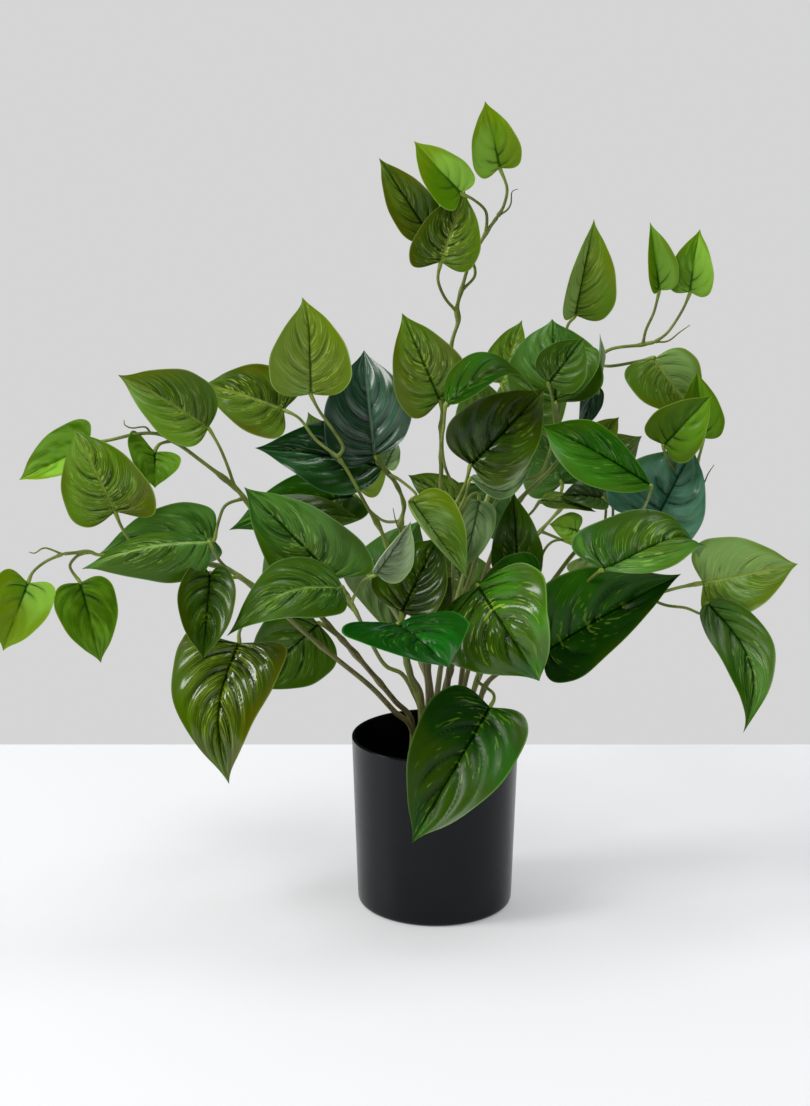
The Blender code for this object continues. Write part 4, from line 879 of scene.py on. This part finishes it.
# Stems and stalks: brown and barky near the pot, olive further out, yellow-green at each leaf
def stemFinish():
    made, skin, wire = newFinish("stems")
    mapped = wire.node("ShaderNodeUVMap", {"uv_map": "tubeMap"}, {})
    place = wire.objectPlace()
    spot = wire.node("ShaderNodeSeparateXYZ", {}, {0: mapped})
    age, knot = wire.read("age"), wire.read("knot")
    patch = wire.noise(place, 55.0, 3.0)
    grain = wire.noise(wire.point(spot * 9.0, spot.port(1) * 0.9, 0.0), 1.0, 3.0, 0.6)
    old = (age + (patch - 0.5) * 0.5).fade(0.32, 0.68)
    colour = wire.blend(patch.fade(0.4, 0.65), stemPaint["green"], stemPaint["young"])
    colour = wire.blend(old, colour, stemPaint["brown"])
    colour = wire.blend(grain.fade(0.55, 0.35) * (0.25 + 0.5 * old), colour, stemPaint["bark"])
    colour = wire.blend(knot * 0.8, colour, stemPaint["knot"])
    plug(colour, skin, "Base Color")
    plug(stemPaint["rough"] + (grain - 0.5) * 0.2, skin, "Roughness")
    bumped(wire, grain + wire.noise(place, 420.0, 2.0) * 0.5, 0.0004, 0.6, skin)
    return made


print("finishes of the greens and stems")
leafSkins = {name: leafFinish(name) for name in greens}
stemSkin = stemFinish()
rng = np.random.default_rng(41)
for name, spray in sprays.items():
    kinds = list(dict.fromkeys(spec["kind"] for spec in spray["leaves"]))
    for spec in spray["leaves"]:
        spec["seed"] = rng.uniform(0.0, 1.0)
    blades = [(blade(spec), kinds.index(spec["kind"])) for spec in spray["leaves"]]
    leaves = solidFrom("leaves_" + name[6:], blades, [leafSkins[kind] for kind in kinds], "leafMap")
    stem, stemSolid = stemShape(spray, rng)
    tubes = [stemSolid] + [stalkShape(spec, stem) for spec in spray["leaves"]]
    tubes += [tendrilShape(points, stem) for points in spray.get("tendrils", [])]
    stems = solidFrom("stems_" + name[6:], [(shape, 0) for shape in tubes], [stemSkin], "tubeMap")
    for piece in (leaves, stems):
        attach(piece, "root")
        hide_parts(name)
    print(name, len(leaves.data.polygons), "faces of leaves,", len(stems.data.polygons), "of stems")


def turned(name, profile, sides, finish, waves=None):  # radius and height pairs turned once round +Z
    turn = np.linspace(0.0, 2.0 * math.pi, sides, endpoint=False)
    radius, height = np.array(profile[1:-1]).T
    points = np.stack([radius[:, None] * np.cos(turn), radius[:, None] * np.sin(turn),
                       np.repeat(height[:, None], sides, axis=1)], axis=-1)
    if waves is not None:
        points = waves(points)
    grid = np.arange(points.shape[0] * sides).reshape(-1, sides)
    grid = np.hstack([grid, grid[:, :1]])
    ends = np.array([[0.0, 0.0, profile[0][1]], [0.0, 0.0, profile[-1][1]]])
    first = points.shape[0] * sides
    quads, tris = fans(grid, first, first + 1)
    points = np.vstack([points.reshape(-1, 3), ends])
    shape = (points, quads, tris, points[:, :2] * 10.0, {})
    return solidFrom(name, [(shape, 0)], [finish], "plainMap", math.radians(40.0))


potBuild = dict(height=0.1255, topRadius=0.0600, footRadius=0.0560, wall=0.0022, floor=0.0030,
                footRound=0.0035, lip=0.0011, sides=160)


def arc(middle, radius, first, last, steps):  # points of a quarter or half round, angles in degrees
    turn = np.radians(np.linspace(first, last, steps))
    return [(middle[0] + radius * math.cos(a), middle[1] + radius * math.sin(a)) for a in turn]


def wallRadius(height):  # of the pot's outside, which widens evenly from foot to top
    low, high = potBuild["footRadius"], potBuild["topRadius"]
    return low + (high - low) * height / potBuild["height"]


# The pot's black and its worn patches are tinted blue: a painted reflection of the cool room on the plastic
potPaint = dict(black=paint(4, 7, 11), wornAndBlueReflection=paint(10, 14, 19), rough=0.25)


def potFinish():  # satin black plastic with a faint moulded grain and dull patches
    made, skin, wire = newFinish("potPlastic")
    place = wire.objectPlace()
    dull = wire.noise(place, 35.0, 4.0)
    tone = wire.blend(dull.fade(0.45, 0.75) * 0.5, potPaint["black"], potPaint["wornAndBlueReflection"])
    plug(tone, skin, "Base Color")
    plug(potPaint["rough"] + (dull - 0.5) * 0.18, skin, "Roughness")
    bumped(wire, wire.noise(place, 2600.0, 2.0), 0.0002, 0.2, skin)
    fixed(skin, {"Specular IOR Level": potSpecular})
    return made


def potPiece():
    high, wall, lip, low, floor = (potBuild[key] for key in ("height", "wall", "lip", "footRound", "floor"))
    under = high - lip * 1.4  # the wall ends here, under the lip
    profile = [(0.0, 0.0), (0.03, 0.0), (0.048, 0.0)]
    profile += arc((potBuild["footRadius"] - low, low), low, -90.0, 0.0, 8)
    profile += [(wallRadius(z), z) for z in np.linspace(0.006, under, 22)]
    profile += arc((wallRadius(high) - lip, high - lip), lip, 0.0, 180.0, 13)
    profile += [(wallRadius(z) - wall, z) for z in np.linspace(under, floor + 0.002, 16)]
    profile += [(0.052, floor), (0.03, floor), (0.0, floor)]
    return turned("potShell", profile, potBuild["sides"], potFinish())


fillBuild = dict(top=0.0875, crown=0.004, gap=0.0004, lump=0.0016, sides=150, rings=46)
fillPaint = dict(dark=paint(16, 13, 11), crumb=paint(52, 43, 34))


def lumps(points):  # height of the filling's crumbs: waves of several lengths, multiplied and added
    x, y = points[..., 0] * 1000.0, points[..., 1] * 1000.0
    fine = np.sin(x * 1.9 + 2.0 * np.sin(y * 0.9)) * np.sin(y * 2.1 + 2.0 * np.sin(x * 0.8))
    broad = np.sin(x * 0.55 + 1.3) * np.sin(y * 0.62 + 0.4) + 0.6 * np.sin(x * 1.1 - y * 0.9)
    return 0.55 * np.abs(fine) + 0.35 * broad


def fillFinish():  # dark crumbly filling
    made, skin, wire = newFinish("filling")
    place = wire.objectPlace()
    crumbs = wire.node("ShaderNodeTexVoronoi", {}, {0: place, 2: 420.0})
    speck = wire.noise(place, 260.0, 4.0, 0.7)
    tone = wire.blend(speck.fade(0.45, 0.72) * 0.8, fillPaint["dark"], fillPaint["crumb"])
    plug(tone, skin, "Base Color")
    plug(0.85 + (speck - 0.5) * 0.2, skin, "Roughness")
    bumped(wire, speck + (1.0 - crumbs) * 0.4, 0.0012, 0.8, skin)
    return made


def fillPiece():
    low = potBuild["floor"] + fillBuild["gap"]
    top = fillBuild["top"]
    inside = potBuild["wall"] + fillBuild["gap"]
    edge = wallRadius(top) - inside
    profile = [(0.0, low), (0.03, low)]
    profile += [(wallRadius(z) - inside, z) for z in np.linspace(low, top, 12)]
    profile += [(r, top + fillBuild["crown"] * (1.0 - (r / edge) ** 2)) for r in
                np.linspace(edge, 0.0, fillBuild["rings"] + 1)[1:]]

    def crumbled(points):
        surface = ramp(points[..., 2], top - 0.0005, top + 0.0004)
        points[..., 2] += lumps(points) * fillBuild["lump"] * surface
        return points

    return turned("fillingPlug", profile, fillBuild["sides"], fillFinish(), crumbled)


pot = potPiece()
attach(pot, "root")
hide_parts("pot")
filling = fillPiece()
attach(filling, "root")
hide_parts("soil")
print("pot and filling")

# The studio: a white table whose far edge lies behind the plant, an even grey backdrop and soft lamps. The
# table top also glows evenly, a painted light that lifts the shadows on it. The lens sees the same grey
# everywhere. The plant is lit by a room that is bright behind and above it, and its gloss mirrors a darker
# one.
studio = dict(table=(-1.7, 1.7, -2.2, 0.346), thick=0.05, edge=0.004, white=paint(212, 212, 213),
              rough=0.55, shadowLiftGlow=0.24, grey=paint(213, 213, 213), room=paint(60, 61, 63),
              behind=paint(205, 208, 211), above=paint(230, 233, 236), mirrored=paint(42, 44, 46),
              shining=paint(150, 156, 160))
lamps = dict(
    key=dict(place=(-2.7, -0.6, 1.35), aim=(0.0, 0.0, 0.3), size=0.95, power=48.0,
             colour=(1.0, 0.99, 0.97)),
    front=dict(place=(-1.0, -1.6, 2.6), aim=(0.0, 0.1, 0.3), size=0.75, power=22.0,
               colour=(1.0, 1.0, 1.0)),
    top=dict(place=(0.5, 0.1, 2.1), aim=(0.0, 0.0, 0.3), size=0.8, power=9.0,
             colour=(0.96, 0.985, 1.0)),
)


def tablePiece():
    left, right, near, far = studio["table"]
    mesh = bpy.data.meshes.new("table")
    corners = [(x, y, z) for z in (-studio["thick"], 0.0) for x, y in
               ((left, near), (right, near), (right, far), (left, far))]
    sides = [(3, 2, 1, 0), (4, 5, 6, 7), (0, 1, 5, 4), (1, 2, 6, 5), (2, 3, 7, 6), (3, 0, 4, 7)]
    mesh.from_pydata(corners, [], sides)
    made = placed("table", mesh)
    rounded = made.modifiers.new("rounded", "BEVEL")
    rounded.width = studio["edge"]
    rounded.segments = 4
    finish, skin, _ = newFinish("tableTop")
    # The emission is painted light: an even glow that lifts the lamps' shadows on the table top
    fixed(skin, {"Base Color": studio["white"], "Roughness": studio["rough"],
                 "Emission Color": (1.0, 1.0, 1.0, 1.0), "Emission Strength": studio["shadowLiftGlow"]})
    mesh.materials.append(finish)


def lamp(name, made):
    data = bpy.data.lights.new(name, "AREA")
    data.size = made["size"]
    data.energy = made["power"]
    data.color = made["colour"]
    held = placed(name, data)
    held.location = made["place"]
    aim = np.array(made["aim"]) - np.array(made["place"])
    flat = math.hypot(aim[0], aim[1])
    held.rotation_euler = (math.atan2(flat, -aim[2]), 0.0, math.atan2(-aim[0], aim[1]))


def backdrop():
    world = bpy.data.worlds.new("backdrop")
    world.use_nodes = True
    shade = world.node_tree.nodes["Background"]
    wire = Wire(world.node_tree)
    towards = wire.node("ShaderNodeTexCoord", {}, {}, out=0)
    spot = wire.node("ShaderNodeSeparateXYZ", {}, {0: towards})
    light = wire.blend(spot.port(1).fade(-0.25, 0.55), studio["room"], studio["behind"])
    light = wire.blend(spot.port(2).fade(0.35, 0.95), light, studio["above"])
    gloss = wire.blend(spot.port(2).fade(0.45, 0.95), studio["mirrored"], studio["shining"])
    seenStraight = wire.node("ShaderNodeLightPath", {}, {}, out=0)
    light = wire.blend(seenStraight.port(3), light, gloss)
    light = wire.blend(seenStraight, light, studio["grey"])
    plug(light, shade, "Color")
    bpy.context.scene.world = world


def camera():
    data = bpy.data.cameras.new("photoView")
    data.sensor_width = 36.0
    data.lens = data.sensor_width * eye["pixels"] / eye["tall"]
    data.clip_start = 0.05
    held = placed("photoView", data)
    held.location = eye["place"].tolist()
    held.rotation_euler = (math.pi / 2.0 - eye["tilt"], 0.0, 0.0)
    bpy.context.scene.camera = held


tablePiece()
for name, made in lamps.items():
    lamp(name, made)
backdrop()
camera()
bpy.context.scene.view_settings.view_transform = "Standard"
print("table, lamps, backdrop and camera")
